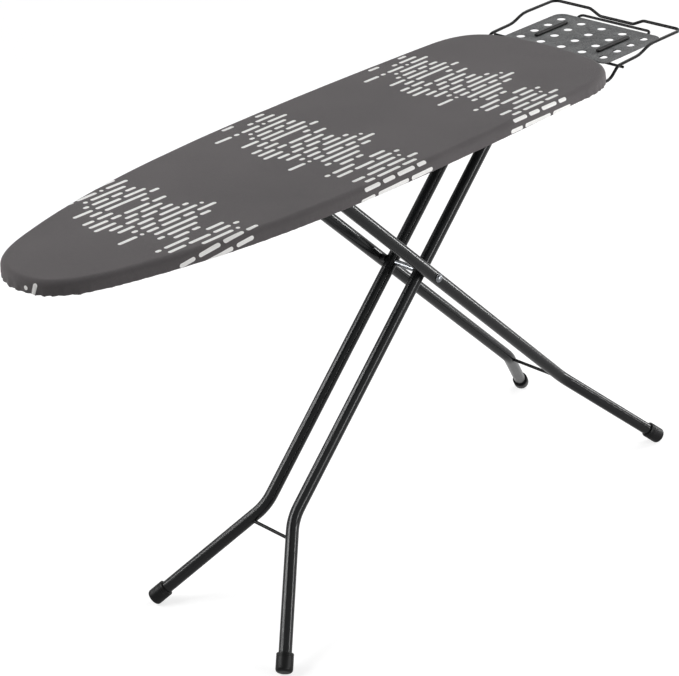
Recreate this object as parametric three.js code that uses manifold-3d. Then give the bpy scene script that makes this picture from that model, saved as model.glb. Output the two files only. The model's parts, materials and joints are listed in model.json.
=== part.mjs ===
// An ironing board on two scissor leg frames, with a wire iron rest at its tail.
// Millimetres, +Z up. In the driving dimensions x = 0 is the leg pivot, +X points to the iron rest,
// y = 0 is the middle plane and z = 0 is the floor. The exported group is then moved along X, so that
// its origin is the middle of the footprint. "Inner" legs are the narrow pair, "outer" the wide pair.
import * as THREE from "three";
import { mergeVertices } from "three/addons/utils/BufferGeometryUtils.js";
import Module from "manifold-3d";

const wasm = await Module();
wasm.setup();

// ---- Driving dimensions ----

const seatGap = 0.3; // between pieces that touch
const runGap = 0.3; // radial clearance round pins, rods and bars

const boardLength = 1214;
const boardWidth = 382;
const topHeight = 810.5;

const clothThickness = 1.5;
const coverDepth = 23.5;
const coverTopRadius = 10;
const coverHemRadius = 2.5;
const hemWidth = 30;
const padThickness = 6;
const padInset = 9;
const sheetThickness = 1.2;
const cordDiameter = 2.2;
const cordLockLength = 18;
const cordLockWidth = 12;
const cordLockHeight = 7;

const tubeDiameter = 22.7;
const tubeSides = 24; // facets round a tube, a plug and a foot cap
const tubeWall = 1.3;
const legAngle = THREE.MathUtils.degToRad(45.2);
const upperReach = 370.65; // from the leg pivot up to the hinge pin, along the leg frame
const hingeInset = 140.83; // from the board's tail in to the hinge pin
const hingeDrop = 29.5; // from the top of the cover down to the hinge pin and the slider bar
const innerHalfSpacing = 33.8;
const outerHalfSpacing = 67.4;
const innerFootHalfSpread = 174; // of the legs' middle lines, where they meet the floor
const outerFootHalfSpread = 182;
const innerBendReach = 247; // from the floor to the bend, along the leg frame
const outerBendReach = 242;
const tubeBendRadius = 85;
const tubeTopOverhang = 12;
const tieWireDiameter = 6;
const innerTieReach = 213;
const outerTieReach = 231;

const capDiameter = 30;
const capLength = 33;
const capFloor = 4;
const capEdgeRadius = 6;
const capTread = 1.5; // how much the floor flattens a cap
const plugHeadLength = 2;
const plugDepth = 6;

const axleDiameter = 8;
const axleSleeveDiameter = 11;
const axleCapDiameter = 16;
const axleCapHeight = 5;
const washerDiameter = 15;

const hingePinDiameter = 8;
const pinCapDiameter = 14;
const pinCapHeight = 4;
const pinCapEdge = 1.3; // the straight edge below the dome, and the dome's wall
const bracketThickness = 2;
const bracketLength = 32;
const bracketDrop = 10; // below the middle of the hinge pin
const bracketFlange = 14;
const hingeSleeveDiameter = 14;

const channelWidth = 36;
const channelWall = 1.5;
const channelDrop = 11; // below the middle of the slider bar
const channelEndMargin = 12;
const barDiameter = 10;
const barOverhang = 1.5;
const glideDiameter = 18;
const glideWidth = 4.5;
const pocketPitch = 19;
const pocketDepth = 4;
const pocketsToNose = 5;
const pocketsToTail = 2;
const foldTravel = THREE.MathUtils.degToRad(42);
const raiseTravel = THREE.MathUtils.degToRad(4);

const leverRodDiameter = 6;
const leverRodY = 23.2;
const leverRodDrop = 13; // below the slider bar
const leverOverhang = 10; // past the channel's nose end
const leverRodOverhang = 7; // past the channel's tail end
const leverEndInset = 66; // from the board's widest side in to the end of the lever
const leverBendRadius = 14;
const gripDiameter = 14;
const gripLength = 56;
const gripEndWall = 3;
const keeperThickness = 1.5;
const keeperEdgeY = -11;
const leverBracketThickness = 2;
const leverBracketMargin = 5;
const leverBracketRise = 14;
const leverBracketRadius = 5;
const springWire = 1.2;
const springTurns = 5;
const springPitch = 1.7;
const springLeg = 7;

const braceWidth = 26;
const braceWall = 1.5;
const braceDepth = 9.4;
const frontBraceGap = 54; // from the height lever to the middle of the front brace
const middleBraceGap = 221; // from the hinge pin to the middle of the middle brace
const rearBraceInset = 110; // from the board's tail in to the middle of the rear brace

const plateTailGap = 17; // from the plate to the middle of the rim wire
const plateInset = 69; // from the board's widest side in to the side of the plate
const plateThickness = 1.5;
const plateDrop = 12.9; // below the top of the cover
const plateGap = 2; // from the cover's tail to the plate
const plateTailRadius = 20;
const plateBoardRadius = 12;
const holeDiameter = 16.2;
const firstRowInset = 26.5; // from the plate's board edge to the first row of holes
const holeSideMargin = 25.8; // from the plate's side to the outermost column of holes
const holeRows = 4;
const holeColumns = 5;
const lastRowInset = 27.5; // from the plate's tail edge to the last row of holes
const stripWidth = 8;
const stripHeight = 3;
const stripBoardInset = 39;
const stripTailInset = 40;

const rimWire = 5.7;
const carrierWire = 5;
const rimInset = 43; // from the board's widest side in to the rim wire
const rimEndInset = 12; // from the rim wire's end to the middle of the rear brace
const rimReach = 190; // from the board's tail to the rim wire's tail end
const rimHighRise = 2.2; // above the top of the cover
const rimCornerRadius = 13;
const rimDipHalfWidth = 39;
const rimDipDrop = 8.7; // this and the next drops are below the top of the cover
const rimDipRamp = 23;
const rimKinkReach = 66; // from the board's tail to where the rim wire turns up
const rimKinkDrop = 9.5;
const rimKinkLength = 30;
const rimDropLength = 14; // the slope down from the rear brace to under the hem
const rimUnderDrop = 30.5;
const rimRiseInset = 17; // from the board's tail in to where the rim wire leaves the hem
const rimRiseLength = 22;
const rimBendRadius = 9;
const carrierInset = 40; // from the plate's side in to the carrier wire
const carrierTailSetback = 3.6; // from the rim wire to the carrier wire
const carrierTailDrop = 13.5; // below the top of the cover
const carrierBendRadius = 8;
const rodInset = 15; // from the plate's board edge to the cross rod
const rodOverhang = 3; // past the middle of the rim wire
const clipWidth = 14;
const clipThickness = 1.5;
const clipTab = 13;
const screwDiameter = 4;
const screwHeadDiameter = 8;
const screwHeadHeight = 2.4;
const screwOverhang = 2; // past the rear brace

// ---- Places that follow from them ----

const hingeX = upperReach * Math.cos(legAngle);
const tailX = hingeX + hingeInset;
const noseX = tailX - boardLength;
const boardHalfWidth = boardWidth / 2;
const hingeHeight = topHeight - hingeDrop;
const tubeRadius = tubeDiameter / 2;
const pivotHeight = hingeHeight - upperReach * Math.sin(legAngle);
const lowerReach = pivotHeight / Math.sin(legAngle);
const sliderX = -hingeX;
const sliderNoseX = hingeX - 2 * upperReach * Math.cos(legAngle - foldTravel);
const sliderTailX = hingeX - 2 * upperReach * Math.cos(legAngle + raiseTravel);
const coverLow = topHeight - coverDepth;
const padHigh = topHeight - clothThickness - seatGap;
const sheetHigh = padHigh - padThickness - seatGap;
const sheetLow = sheetHigh - sheetThickness;
const trayLow = coverLow + clothThickness + seatGap;
const trayInset = clothThickness + 0.7;
const underTray = sheetLow - seatGap; // the top of everything that is welded under the tray
const braceLow = underTray - braceDepth;
const cordInset = hemWidth - cordDiameter;
const channelNoseX = sliderNoseX - channelEndMargin - barDiameter / 2;
const channelTailX = sliderTailX + channelEndMargin + barDiameter / 2;
const channelLow = hingeHeight - channelDrop;
const bracketInnerY = innerHalfSpacing + tubeRadius + 1;
const bracketOuterY = bracketInnerY + bracketThickness;
const leverRodHeight = hingeHeight - leverRodDrop;
const leverReach = boardHalfWidth - leverEndInset;
const leverArmX = channelNoseX - leverOverhang;
const frontBraceX = leverArmX - frontBraceGap;
const middleBraceX = hingeX - middleBraceGap;
const rearBraceX = tailX - rearBraceInset;
const plateBoardX = tailX + plateGap;
const rimTailX = tailX + rimReach;
const plateTailX = rimTailX - plateTailGap;
const plateHalfWidth = boardHalfWidth - plateInset;
const plateTopHeight = topHeight - plateDrop;
const plateLow = plateTopHeight - plateThickness;
const holePitchX = (plateTailX - lastRowInset - plateBoardX - firstRowInset) / (holeRows - 1);
const holePitchY = (2 * (plateHalfWidth - holeSideMargin)) / (holeColumns - 1);
const carrierHalfWidth = plateHalfWidth - carrierInset;
const carrierTailHeight = topHeight - carrierTailDrop;
const carrierHeight = plateLow - seatGap - carrierWire / 2;
const rodX = plateBoardX + rodInset;
const rimKinkX = tailX + rimKinkReach;
const rimRiseX = tailX - rimRiseInset;
const rimHalfWidth = boardHalfWidth - rimInset;
const rimHighHeight = topHeight + rimHighRise;
const rimDipHeight = topHeight - rimDipDrop;
const rimKinkHeight = topHeight - rimKinkDrop;
const rimUnderHeight = topHeight - rimUnderDrop;
const rimLowHeight = carrierHeight + carrierWire / 2 + seatGap + rimWire / 2;
const clipScrewY = rimHalfWidth - rimWire / 2 - seatGap - clipThickness - clipTab / 2;
const restEndX = rimTailX + rimWire / 2;

// ---- Finishes ----

function finish(color, roughness, metalness) {
  return { color, roughness, metalness };
}
const coverCloth = finish(0x656364, 0.95, 0);
const feltWool = finish(0x9b9a94, 1, 0);
const meshPaint = finish(0x4b4d50, 0.5, 0.4);
const tubePaint = finish(0x2b2c2e, 0.32, 0.35);
const wirePaint = finish(0x17181a, 0.35, 0.4);
const platePaint = finish(0x5f6061, 0.62, 0.3);
const zinc = finish(0xb9bcc0, 0.3, 0.9);
const rubber = finish(0x141415, 0.7, 0);
const silicone = finish(0x26272a, 0.6, 0);
const nylon = finish(0x202124, 0.5, 0);
const cordYarn = finish(0xd9d7d0, 0.9, 0);

// ---- Solids ----

// A manifold solid of a closed three.js geometry.
function solid(geometry) {
  const bare = geometry.index ? geometry.toNonIndexed() : geometry.clone();
  bare.deleteAttribute("normal");
  bare.deleteAttribute("uv");
  const merged = mergeVertices(bare, 1e-4);
  const mesh = new wasm.Mesh({
    numProp: 3,
    vertProperties: merged.attributes.position.array,
    triVerts: new Uint32Array(merged.index.array),
  });
  return new wasm.Manifold(mesh);
}

// The geometry of a manifold solid.
function geometryOf(body) {
  const mesh = body.getMesh();
  const geometry = new THREE.BufferGeometry();
  geometry.setAttribute("position", new THREE.BufferAttribute(mesh.vertProperties, 3));
  geometry.setIndex(new THREE.BufferAttribute(mesh.triVerts, 1));
  const flat = geometry.toNonIndexed();
  flat.computeVertexNormals();
  return flat;
}

function cut(body, ...tools) {
  return tools.reduce((left, tool) => left.subtract(tool), body);
}

function join(body, ...others) {
  return others.reduce((sum, other) => sum.add(other), body);
}

function named(name, shape, look) {
  const geometry = shape.isBufferGeometry ? shape : geometryOf(shape);
  const mesh = new THREE.Mesh(geometry, new THREE.MeshStandardMaterial(look));
  mesh.name = name;
  return mesh;
}

// A box from its lowest to its highest corner.
function block(low, high) {
  const size = high.map((value, i) => value - low[i]);
  const middle = high.map((value, i) => (value + low[i]) / 2);
  return solid(new THREE.BoxGeometry(...size).translate(...middle));
}

// A cylinder between two points.
function rod(from, to, radius, sides = 16) {
  const start = new THREE.Vector3(...from);
  const end = new THREE.Vector3(...to);
  const along = end.clone().sub(start);
  const turn = new THREE.Quaternion().setFromUnitVectors(
    new THREE.Vector3(0, 1, 0),
    along.clone().normalize(),
  );
  const geometry = new THREE.CylinderGeometry(radius, radius, along.length(), sides);
  geometry.applyQuaternion(turn);
  geometry.translate(...start.add(end).multiplyScalar(0.5).toArray());
  return solid(geometry);
}

// A turned piece: the profile is [radius, distance along the axis], and the axis runs from `from`
// in the direction `along`.
function turned(profile, from, along, sides = 16) {
  const points = profile.map(([radius, height]) => new THREE.Vector2(radius, height));
  const geometry = new THREE.LatheGeometry(points, sides);
  geometry.applyQuaternion(
    new THREE.Quaternion().setFromUnitVectors(
      new THREE.Vector3(0, 1, 0),
      new THREE.Vector3(...along).normalize(),
    ),
  );
  geometry.translate(...from);
  return solid(geometry);
}

// The closed profile of a ring or sleeve, for turned().
function ringProfile(inner, outer, length) {
  return [
    [inner, 0],
    [outer, 0],
    [outer, length],
    [inner, length],
    [inner, 0],
  ];
}

// A path of straight runs joined by arcs, with a station at each end of a run and some on each arc.
// A corner is [x, y, z], with a bend radius of its own as an optional fourth number. A corner of
// radius 0 is mitred.
class BentPath extends THREE.Curve {
  constructor(corners, radius, arcSteps = 3) {
    super();
    this.stations = [];
    const points = corners.map((corner) => new THREE.Vector3(...corner.slice(0, 3)));
    points.forEach((corner, i) => {
      const into = i > 0 && corner.clone().sub(points[i - 1]).normalize();
      const out = i < points.length - 1 && points[i + 1].clone().sub(corner).normalize();
      const ownRadius = corners[i][3] ?? radius;
      if (into && out && ownRadius > 0) {
        this.addArc(corner, into, out, ownRadius, arcSteps);
      } else {
        const tangent = into && out ? into.clone().add(out).normalize() : into || out;
        this.stations.push({ point: corner, tangent });
      }
    });
  }

  addArc(corner, into, out, radius, arcSteps) {
    const turn = into.angleTo(out);
    const side = out.clone().addScaledVector(into, -Math.cos(turn)).normalize();
    const start = corner.clone().addScaledVector(into, -radius * Math.tan(turn / 2));
    for (let step = 0; step <= arcSteps; step += 1) {
      const angle = (turn * step) / arcSteps;
      const point = start.clone();
      point.addScaledVector(into, radius * Math.sin(angle));
      point.addScaledVector(side, radius * (1 - Math.cos(angle)));
      const tangent = into.clone().multiplyScalar(Math.cos(angle));
      tangent.addScaledVector(side, Math.sin(angle));
      this.stations.push({ point, tangent });
    }
  }

  get steps() {
    return this.stations.length - 1;
  }

  getPoint(t) {
    return this.stations[Math.round(t * this.steps)].point.clone();
  }

  getPointAt(t) {
    return this.getPoint(t);
  }

  getTangentAt(t) {
    return this.stations[Math.round(t * this.steps)].tangent.clone();
  }
}

// A round bar or, with a wall, a tube along a path.
function swept(path, radius, sides, wall = 0) {
  const section = new THREE.Shape().absarc(0, 0, radius, 0, 2 * Math.PI);
  if (wall > 0) {
    section.holes.push(new THREE.Path().absarc(0, 0, radius - wall, 0, 2 * Math.PI, true));
  }
  const geometry = new THREE.ExtrudeGeometry(section, {
    steps: path.steps,
    curveSegments: sides / 2,
    bevelEnabled: false,
    extrudePath: path,
  });
  return solid(geometry);
}

// A flat profile of [across, up] points, extruded along X from one x to another, or mirrored in y.
function extrudedAlongX(profile, fromX, toX, side = 1) {
  const points = profile.map(([y, z]) => new THREE.Vector2(side * y, z));
  const geometry = new THREE.ExtrudeGeometry(new THREE.Shape(points), {
    depth: toX - fromX,
    bevelEnabled: false,
  });
  const frame = new THREE.Matrix4().makeBasis(
    new THREE.Vector3(0, 1, 0),
    new THREE.Vector3(0, 0, 1),
    new THREE.Vector3(1, 0, 0),
  );
  return solid(geometry.applyMatrix4(frame).translate(fromX, 0, 0));
}

// ---- Outline of the board ----

// Curves of the half outline, nose to tail. A point is the distance from the tip of the nose, or of
// the tail for the second list, and the share of the half width.
const noseCurves = [
  { steps: 9, points: [[0, 0], [0, 0.35], [50, 0.5], [112, 0.602]] },
  { steps: 8, points: [[112, 0.602], [262, 0.864], [432, 1], [752, 1]] },
];
const tailCurves = [
  { steps: 3, points: [[462, 1], [342, 1], [232, 0.99], [132, 0.968]] },
  { steps: 9, points: [[132, 0.968], [50, 0.963], [13, 0.775], [5, 0.377]] },
  { steps: 2, points: [[5, 0.377], [2, 0.25], [0, 0.126], [0, 0]] },
];

// Points with their tangents along a curve, without its last one.
function curvePoints(curve, toPoint) {
  const bezier = new THREE.CubicBezierCurve(...curve.points.map(toPoint));
  return Array.from({ length: curve.steps }, (_, i) => ({
    point: bezier.getPoint(i / curve.steps),
    tangent: bezier.getTangent(i / curve.steps),
  }));
}

// The outline moved inwards by an inset: from the tip of the nose along the -Y side to the middle of
// the tail, and back along the +Y side.
function outline(inset) {
  const fromNose = ([reach, share]) => new THREE.Vector2(noseX + reach, share * boardHalfWidth);
  const fromTail = ([reach, share]) => new THREE.Vector2(tailX - reach, share * boardHalfWidth);
  const half = [
    ...noseCurves.flatMap((curve) => curvePoints(curve, fromNose)),
    ...tailCurves.flatMap((curve) => curvePoints(curve, fromTail)),
  ];
  const [nose, ...side] = half.map(
    ({ point, tangent }) =>
      new THREE.Vector2(point.x + tangent.y * inset, point.y - tangent.x * inset),
  );
  const otherSide = side.map((point) => new THREE.Vector2(point.x, -point.y));
  return [nose, ...otherSide, new THREE.Vector2(tailX - inset, 0), ...side.reverse()];
}

// Half the width of the outline inside an inset, at one x.
function halfWidthAt(x, inset) {
  const side = outline(inset).filter((point) => point.y >= 0);
  side.sort((a, b) => a.x - b.x);
  const next = side.findIndex((point) => point.x >= x);
  const before = side[next - 1];
  const after = side[next];
  return THREE.MathUtils.mapLinear(x, before.x, after.x, before.y, after.y);
}

// A flat slab of the outline, with both its rims rounded if it has a rim radius.
function slab(inset, low, high, rimRadius = 0) {
  const geometry = new THREE.ExtrudeGeometry(new THREE.Shape(outline(inset)), {
    depth: high - low - 2 * rimRadius,
    bevelEnabled: rimRadius > 0,
    bevelThickness: rimRadius,
    bevelSize: rimRadius,
    bevelOffset: -rimRadius,
    bevelSegments: 3,
  });
  return solid(geometry.translate(0, 0, low + rimRadius));
}

// A slab whose top and bottom rims have their own radii.
function cushion(inset, low, high, topRadius, bottomRadius) {
  const above = slab(inset, low - 2 * topRadius, high, topRadius);
  const below = slab(inset, low, high + 2 * bottomRadius, bottomRadius);
  return above.intersect(below);
}

// ---- Board top ----

function cover() {
  const outside = cushion(0, coverLow, topHeight, coverTopRadius, coverHemRadius);
  const inside = cushion(
    clothThickness,
    coverLow + clothThickness,
    topHeight - clothThickness,
    coverTopRadius - clothThickness,
    coverHemRadius - clothThickness,
  );
  const opening = slab(hemWidth, coverLow - 1, coverLow + coverDepth / 2);
  return named("cover", cut(outside, inside, opening), coverCloth);
}

function feltPad() {
  return named("felt_pad", slab(padInset, padHigh - padThickness, padHigh), feltWool);
}

function meshTop() {
  const outside = slab(trayInset, trayLow, sheetHigh);
  const inside = slab(trayInset + sheetThickness, trayLow - 1, sheetLow);
  return named("mesh_top", cut(outside, inside), meshPaint);
}

// The draw cord in the hem. It is open at the tail, where its ends meet in the cord lock.
function hemCord() {
  const height = trayLow + cordDiameter / 2;
  const endY = cordLockWidth / 2 + seatGap;
  const loop = outline(cordInset);
  const middle = loop.length / 2;
  const onHem = (point) => [point.x, point.y, height];
  const route = [
    [tailX - cordInset, endY, height],
    ...loop.slice(middle + 1).map(onHem),
    ...loop.slice(0, middle).map(onHem),
    [tailX - cordInset, -endY, height],
  ];
  return named("hem_cord", swept(new BentPath(route, 0), cordDiameter / 2, 6), cordYarn);
}

function cordLock() {
  const x = tailX - cordInset;
  const body = block(
    [x - cordLockLength / 2, -cordLockWidth / 2, trayLow],
    [x + cordLockLength / 2, cordLockWidth / 2, trayLow + cordLockHeight],
  );
  return named("cord_lock", body, nylon);
}

// A channel that stiffens the tray from below, open at its top.
function braceSolid(x) {
  const ends = [x - braceWidth / 2, x + braceWidth / 2];
  const room = ends.map((endX) => halfWidthAt(endX, trayInset + sheetThickness));
  const half = Math.min(...room) - seatGap;
  const outside = block([x - braceWidth / 2, -half, braceLow], [x + braceWidth / 2, half, underTray]);
  const inside = block(
    [x - braceWidth / 2 + braceWall, -half - 1, braceLow + braceWall],
    [x + braceWidth / 2 - braceWall, half + 1, underTray + 1],
  );
  return cut(outside, inside);
}

// The screws of the rest's clips go through the rear brace.
function rearBrace() {
  const bores = [-1, 1].map((side) =>
    rod(
      [rearBraceX, side * clipScrewY, braceLow - 1],
      [rearBraceX, side * clipScrewY, braceLow + braceWall + 1],
      screwDiameter / 2 + runGap,
      12,
    ),
  );
  return named("rear_brace", cut(braceSolid(rearBraceX), ...bores), meshPaint);
}

// The channel in which the outer legs' bar slides. Each height has a pocket above the slot.
function slideChannel() {
  const half = channelWidth / 2;
  const slotRadius = barDiameter / 2 + runGap;
  const across = (x, z, sides) => rod([x, -half - 1, z], [x, half + 1, z], slotRadius, sides);
  const outside = block([channelNoseX, -half, channelLow], [channelTailX, half, underTray]);
  const inside = block(
    [channelNoseX - 1, -half + channelWall, channelLow - 1],
    [channelTailX + 1, half - channelWall, underTray - channelWall],
  );
  const slot = block(
    [sliderNoseX, -half - 1, hingeHeight - slotRadius],
    [sliderTailX, half + 1, hingeHeight + slotRadius],
  );
  const slotEnds = [sliderNoseX, sliderTailX].map((x) => across(x, hingeHeight, 16));
  const pockets = [];
  for (let i = -pocketsToNose; i <= pocketsToTail; i += 1) {
    pockets.push(across(sliderX + i * pocketPitch, hingeHeight + pocketDepth, 12));
  }
  return named("slide_channel", cut(outside, inside, slot, ...slotEnds, ...pockets), meshPaint);
}

function hingeBracket(name, side) {
  const [low, high] = [side * bracketInnerY, side * bracketOuterY].sort((a, b) => a - b);
  const flangeY = side * (bracketOuterY + bracketFlange);
  const ear = rod([hingeX, low, hingeHeight], [hingeX, high, hingeHeight], bracketDrop);
  const plate = block(
    [hingeX - bracketDrop, low, hingeHeight],
    [hingeX + bracketDrop, high, underTray],
  );
  const flange = block(
    [hingeX - bracketLength / 2, Math.min(low, flangeY), underTray - bracketThickness],
    [hingeX + bracketLength / 2, Math.max(high, flangeY), underTray],
  );
  const bore = rod(
    [hingeX, low - 1, hingeHeight],
    [hingeX, high + 1, hingeHeight],
    hingePinDiameter / 2 + runGap,
  );
  return named(name, cut(join(ear, plate, flange), bore), meshPaint);
}

// ---- Pins, sleeves and their caps ----

// The three pins that lie across the board, each at one x and z.
const hinge = { x: hingeX, z: hingeHeight, diameter: hingePinDiameter };
const pivot = { x: 0, z: pivotHeight, diameter: axleDiameter };
const slider = { x: sliderX, z: hingeHeight, diameter: barDiameter };

function crossPin(name, { x, z, diameter }, halfLength) {
  return named(name, rod([x, -halfLength, z], [x, halfLength, z], diameter / 2), zinc);
}

// A sleeve or washer round a pin, from one y to another.
function sleeve(name, pin, fromY, toY, diameter, look) {
  const profile = ringProfile(pin.diameter / 2 + runGap, diameter / 2, toY - fromY);
  return named(name, turned(profile, [pin.x, fromY, pin.z], [0, 1, 0]), look);
}

// The same between two distances from the middle plane, on one side of it.
function sideSleeve(name, pin, side, inner, outer, diameter, look) {
  const [fromY, toY] = side > 0 ? [inner, outer] : [-outer, -inner];
  return sleeve(name, pin, fromY, toY, diameter, look);
}

// A domed cap over the end of a pin. Its flat face is at a distance faceY from the middle plane.
function pinCap(name, pin, side, faceY, diameter, height) {
  const bore = pin.diameter / 2 + runGap;
  const radius = diameter / 2;
  const dome = [0.1, 0.4, 0.7].map((share) => [
    radius * Math.sqrt(1 - share ** 2),
    pinCapEdge + (height - pinCapEdge) * share,
  ]);
  const profile = [
    [0, height - pinCapEdge],
    [bore, height - pinCapEdge],
    [bore, 0],
    [radius, 0],
    [radius, pinCapEdge],
    ...dome,
    [0, height],
  ];
  return named(name, turned(profile, [pin.x, side * faceY, pin.z], [0, side, 0]), zinc);
}

// ---- Leg frames ----

// lean is the way along x that a leg frame leans as it goes up.
const innerFrame = {
  lean: 1,
  halfSpacing: innerHalfSpacing,
  footHalfSpread: innerFootHalfSpread,
  bendReach: innerBendReach,
  tieReach: innerTieReach,
};
const outerFrame = {
  lean: -1,
  halfSpacing: outerHalfSpacing,
  footHalfSpread: outerFootHalfSpread,
  bendReach: outerBendReach,
  tieReach: outerTieReach,
};

// The point of a leg frame's plane at a reach from the floor, measured up the frame.
function onFrame(frame, reach, y) {
  return [
    frame.lean * (reach - lowerReach) * Math.cos(legAngle),
    y,
    reach * Math.sin(legAngle),
  ];
}

// Where a foot cap ends, and the way its tube runs down to it.
function footEnd(frame, side) {
  const floor = new THREE.Vector3(...onFrame(frame, 0, side * frame.footHalfSpread));
  const bend = new THREE.Vector3(...onFrame(frame, frame.bendReach, side * frame.halfSpacing));
  const down = floor.clone().sub(bend).normalize();
  const tilt = Math.sqrt(1 - down.z * down.z);
  const lowest = (capDiameter / 2 - capEdgeRadius) * tilt + capEdgeRadius * (1 + down.z);
  const end = floor.addScaledVector(down, (lowest - capTread) / down.z);
  return { end, down };
}

function tubePath(frame, side) {
  const { end, down } = footEnd(frame, side);
  const tubeEnd = end.clone().addScaledVector(down, -capFloor - seatGap);
  const topReach = lowerReach + upperReach + tubeTopOverhang;
  const corners = [
    tubeEnd.toArray(),
    onFrame(frame, frame.bendReach, side * frame.halfSpacing),
    onFrame(frame, topReach, side * frame.halfSpacing),
  ];
  return new BentPath(corners, tubeBendRadius, 8);
}

function legTube(name, frame, side, topPinDiameter) {
  const bores = [
    [lowerReach, axleDiameter],
    [lowerReach + upperReach, topPinDiameter],
  ].map(([reach, diameter]) => {
    const [x, y, z] = onFrame(frame, reach, side * frame.halfSpacing);
    const ends = [y - tubeRadius - 1, y + tubeRadius + 1];
    return rod([x, ends[0], z], [x, ends[1], z], diameter / 2 + runGap, 16);
  });
  const tube = swept(tubePath(frame, side), tubeRadius, tubeSides, tubeWall);
  return named(name, cut(tube, ...bores), tubePaint);
}

function tubePlug(name, frame, side) {
  const topReach = lowerReach + upperReach + tubeTopOverhang + seatGap + plugHeadLength;
  const top = onFrame(frame, topReach, side * frame.halfSpacing);
  const down = [-frame.lean * Math.cos(legAngle), 0, -Math.sin(legAngle)];
  const stem = tubeRadius - tubeWall - seatGap;
  const profile = [
    [0, 0],
    [tubeRadius - 1, 0],
    [tubeRadius, 1],
    [tubeRadius, plugHeadLength],
    [stem, plugHeadLength],
    [stem, plugHeadLength + plugDepth],
    [0, plugHeadLength + plugDepth],
  ];
  return named(name, turned(profile, top, down, tubeSides), nylon);
}

// The wire that ties a pair of legs below their bends.
function tieWire(name, frame) {
  const [x, , z] = onFrame(frame, frame.tieReach, 0);
  const splay = (frame.footHalfSpread - frame.halfSpacing) / frame.bendReach;
  const half = frame.halfSpacing + splay * (frame.bendReach - frame.tieReach);
  const wire = rod([x, -half, z], [x, half, z], tieWireDiameter / 2, 12);
  const clearance = [-1, 1].map((side) =>
    swept(tubePath(frame, side), tubeRadius + seatGap, tubeSides),
  );
  return named(name, cut(wire, ...clearance), wirePaint);
}

// A rubber cap over the end of a leg, worn flat where it stands on the floor.
function footCap(name, frame, side) {
  const { end, down } = footEnd(frame, side);
  const outer = capDiameter / 2;
  const bore = tubeRadius + seatGap;
  const edge = [0, 0.25, 0.5, 0.75, 1].map((share) => [
    outer - capEdgeRadius * (1 - Math.sin((share * Math.PI) / 2)),
    capEdgeRadius * (1 - Math.cos((share * Math.PI) / 2)),
  ]);
  const profile = [
    [0, 0],
    ...edge,
    [outer, capLength - 2],
    [outer - 1, capLength],
    [bore, capLength],
    [bore, capFloor],
    [0, capFloor],
  ];
  const cap = turned(profile, end.toArray(), down.clone().negate().toArray(), tubeSides);
  const reach = 2 * capLength;
  const ground = block(
    [end.x - reach, end.y - reach, -reach],
    [end.x + reach, end.y + reach, 0],
  );
  return named(name, cut(cap, ground), rubber);
}

// ---- Height lever ----

// The lever's rod runs along the channel, turns out at the nose end and ends in the grip.
function leverRod() {
  const route = [
    [channelTailX + leverRodOverhang, leverRodY, leverRodHeight],
    [leverArmX, leverRodY, leverRodHeight],
    [leverArmX, leverReach, leverRodHeight],
  ];
  const path = new BentPath(route, leverBendRadius);
  return named("lever_rod", swept(path, leverRodDiameter / 2, 12), zinc);
}

function leverGrip() {
  const bore = leverRodDiameter / 2 + seatGap;
  const radius = gripDiameter / 2;
  const profile = [
    [0, 0],
    [radius - 2, 0],
    [radius, 2],
    [radius, gripLength - 2],
    [radius - 2, gripLength],
    [bore, gripLength],
    [bore, gripEndWall],
    [0, gripEndWall],
  ];
  const end = [leverArmX, leverReach + gripEndWall + seatGap, leverRodHeight];
  return named("lever_grip", turned(profile, end, [0, -1, 0]), nylon);
}

// The plate on the rod whose lip keeps the slider bar up in its pocket.
function keeperPlate() {
  const rodSide = leverRodY - leverRodDiameter / 2 - seatGap;
  const high = leverRodHeight;
  const lipHigh = hingeHeight - barDiameter / 2 - 2 * seatGap;
  const profile = [
    [rodSide, high],
    [keeperEdgeY + keeperThickness, high],
    [keeperEdgeY + keeperThickness, lipHigh],
    [keeperEdgeY, lipHigh],
    [keeperEdgeY, high - keeperThickness],
    [rodSide, high - keeperThickness],
  ];
  const fromX = sliderNoseX - barDiameter / 2 + 1;
  const toX = sliderTailX - barDiameter / 2 + 1;
  return named("keeper_plate", extrudedAlongX(profile, fromX, toX), zinc);
}

function leverBracket(name, x) {
  const wallY = channelWidth / 2 + seatGap;
  const toX = x + leverBracketThickness;
  const onRod = (atX) => [atX, leverRodY, leverRodHeight];
  const ear = rod(onRod(x), onRod(toX), leverBracketRadius);
  const plate = block(
    [x, wallY, leverRodHeight + 1],
    [toX, leverRodY + leverBracketRadius, leverRodHeight + leverBracketRise],
  );
  const inboard = block(
    [x - 1, wallY - 2 * leverBracketRadius, leverRodHeight - 2 * leverBracketRadius],
    [toX + 1, wallY, leverRodHeight + 2 * leverBracketRadius],
  );
  const bore = rod(onRod(x - 1), onRod(toX + 1), leverRodDiameter / 2 + runGap);
  return named(name, cut(join(ear, plate), inboard, bore), meshPaint);
}

// The torsion spring round the lever's rod. Both its legs point up.
function leverSpring() {
  const radius = leverRodDiameter / 2 + runGap + springWire / 2;
  const bracketX = channelTailX - leverBracketMargin - leverBracketThickness;
  const start = bracketX - seatGap - springWire / 2;
  const coilSteps = 8;
  const halfTurns = 2 * springTurns + 1;
  const points = [];
  for (let i = 0; i <= (halfTurns * coilSteps) / 2; i += 1) {
    const turns = i / coilSteps;
    const angle = Math.PI + 2 * Math.PI * turns;
    points.push([
      start - springPitch * turns,
      leverRodY + radius * Math.cos(angle),
      leverRodHeight + radius * Math.sin(angle),
    ]);
  }
  const [firstX, firstY, firstZ] = points[0];
  const [lastX, lastY, lastZ] = points.at(-1);
  const route = [
    [firstX, firstY, firstZ + springLeg],
    ...points,
    [lastX, lastY, lastZ + springLeg],
  ];
  return named("lever_spring", swept(new BentPath(route, 0), springWire / 2, 6), zinc);
}

// ---- Iron rest ----

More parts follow.
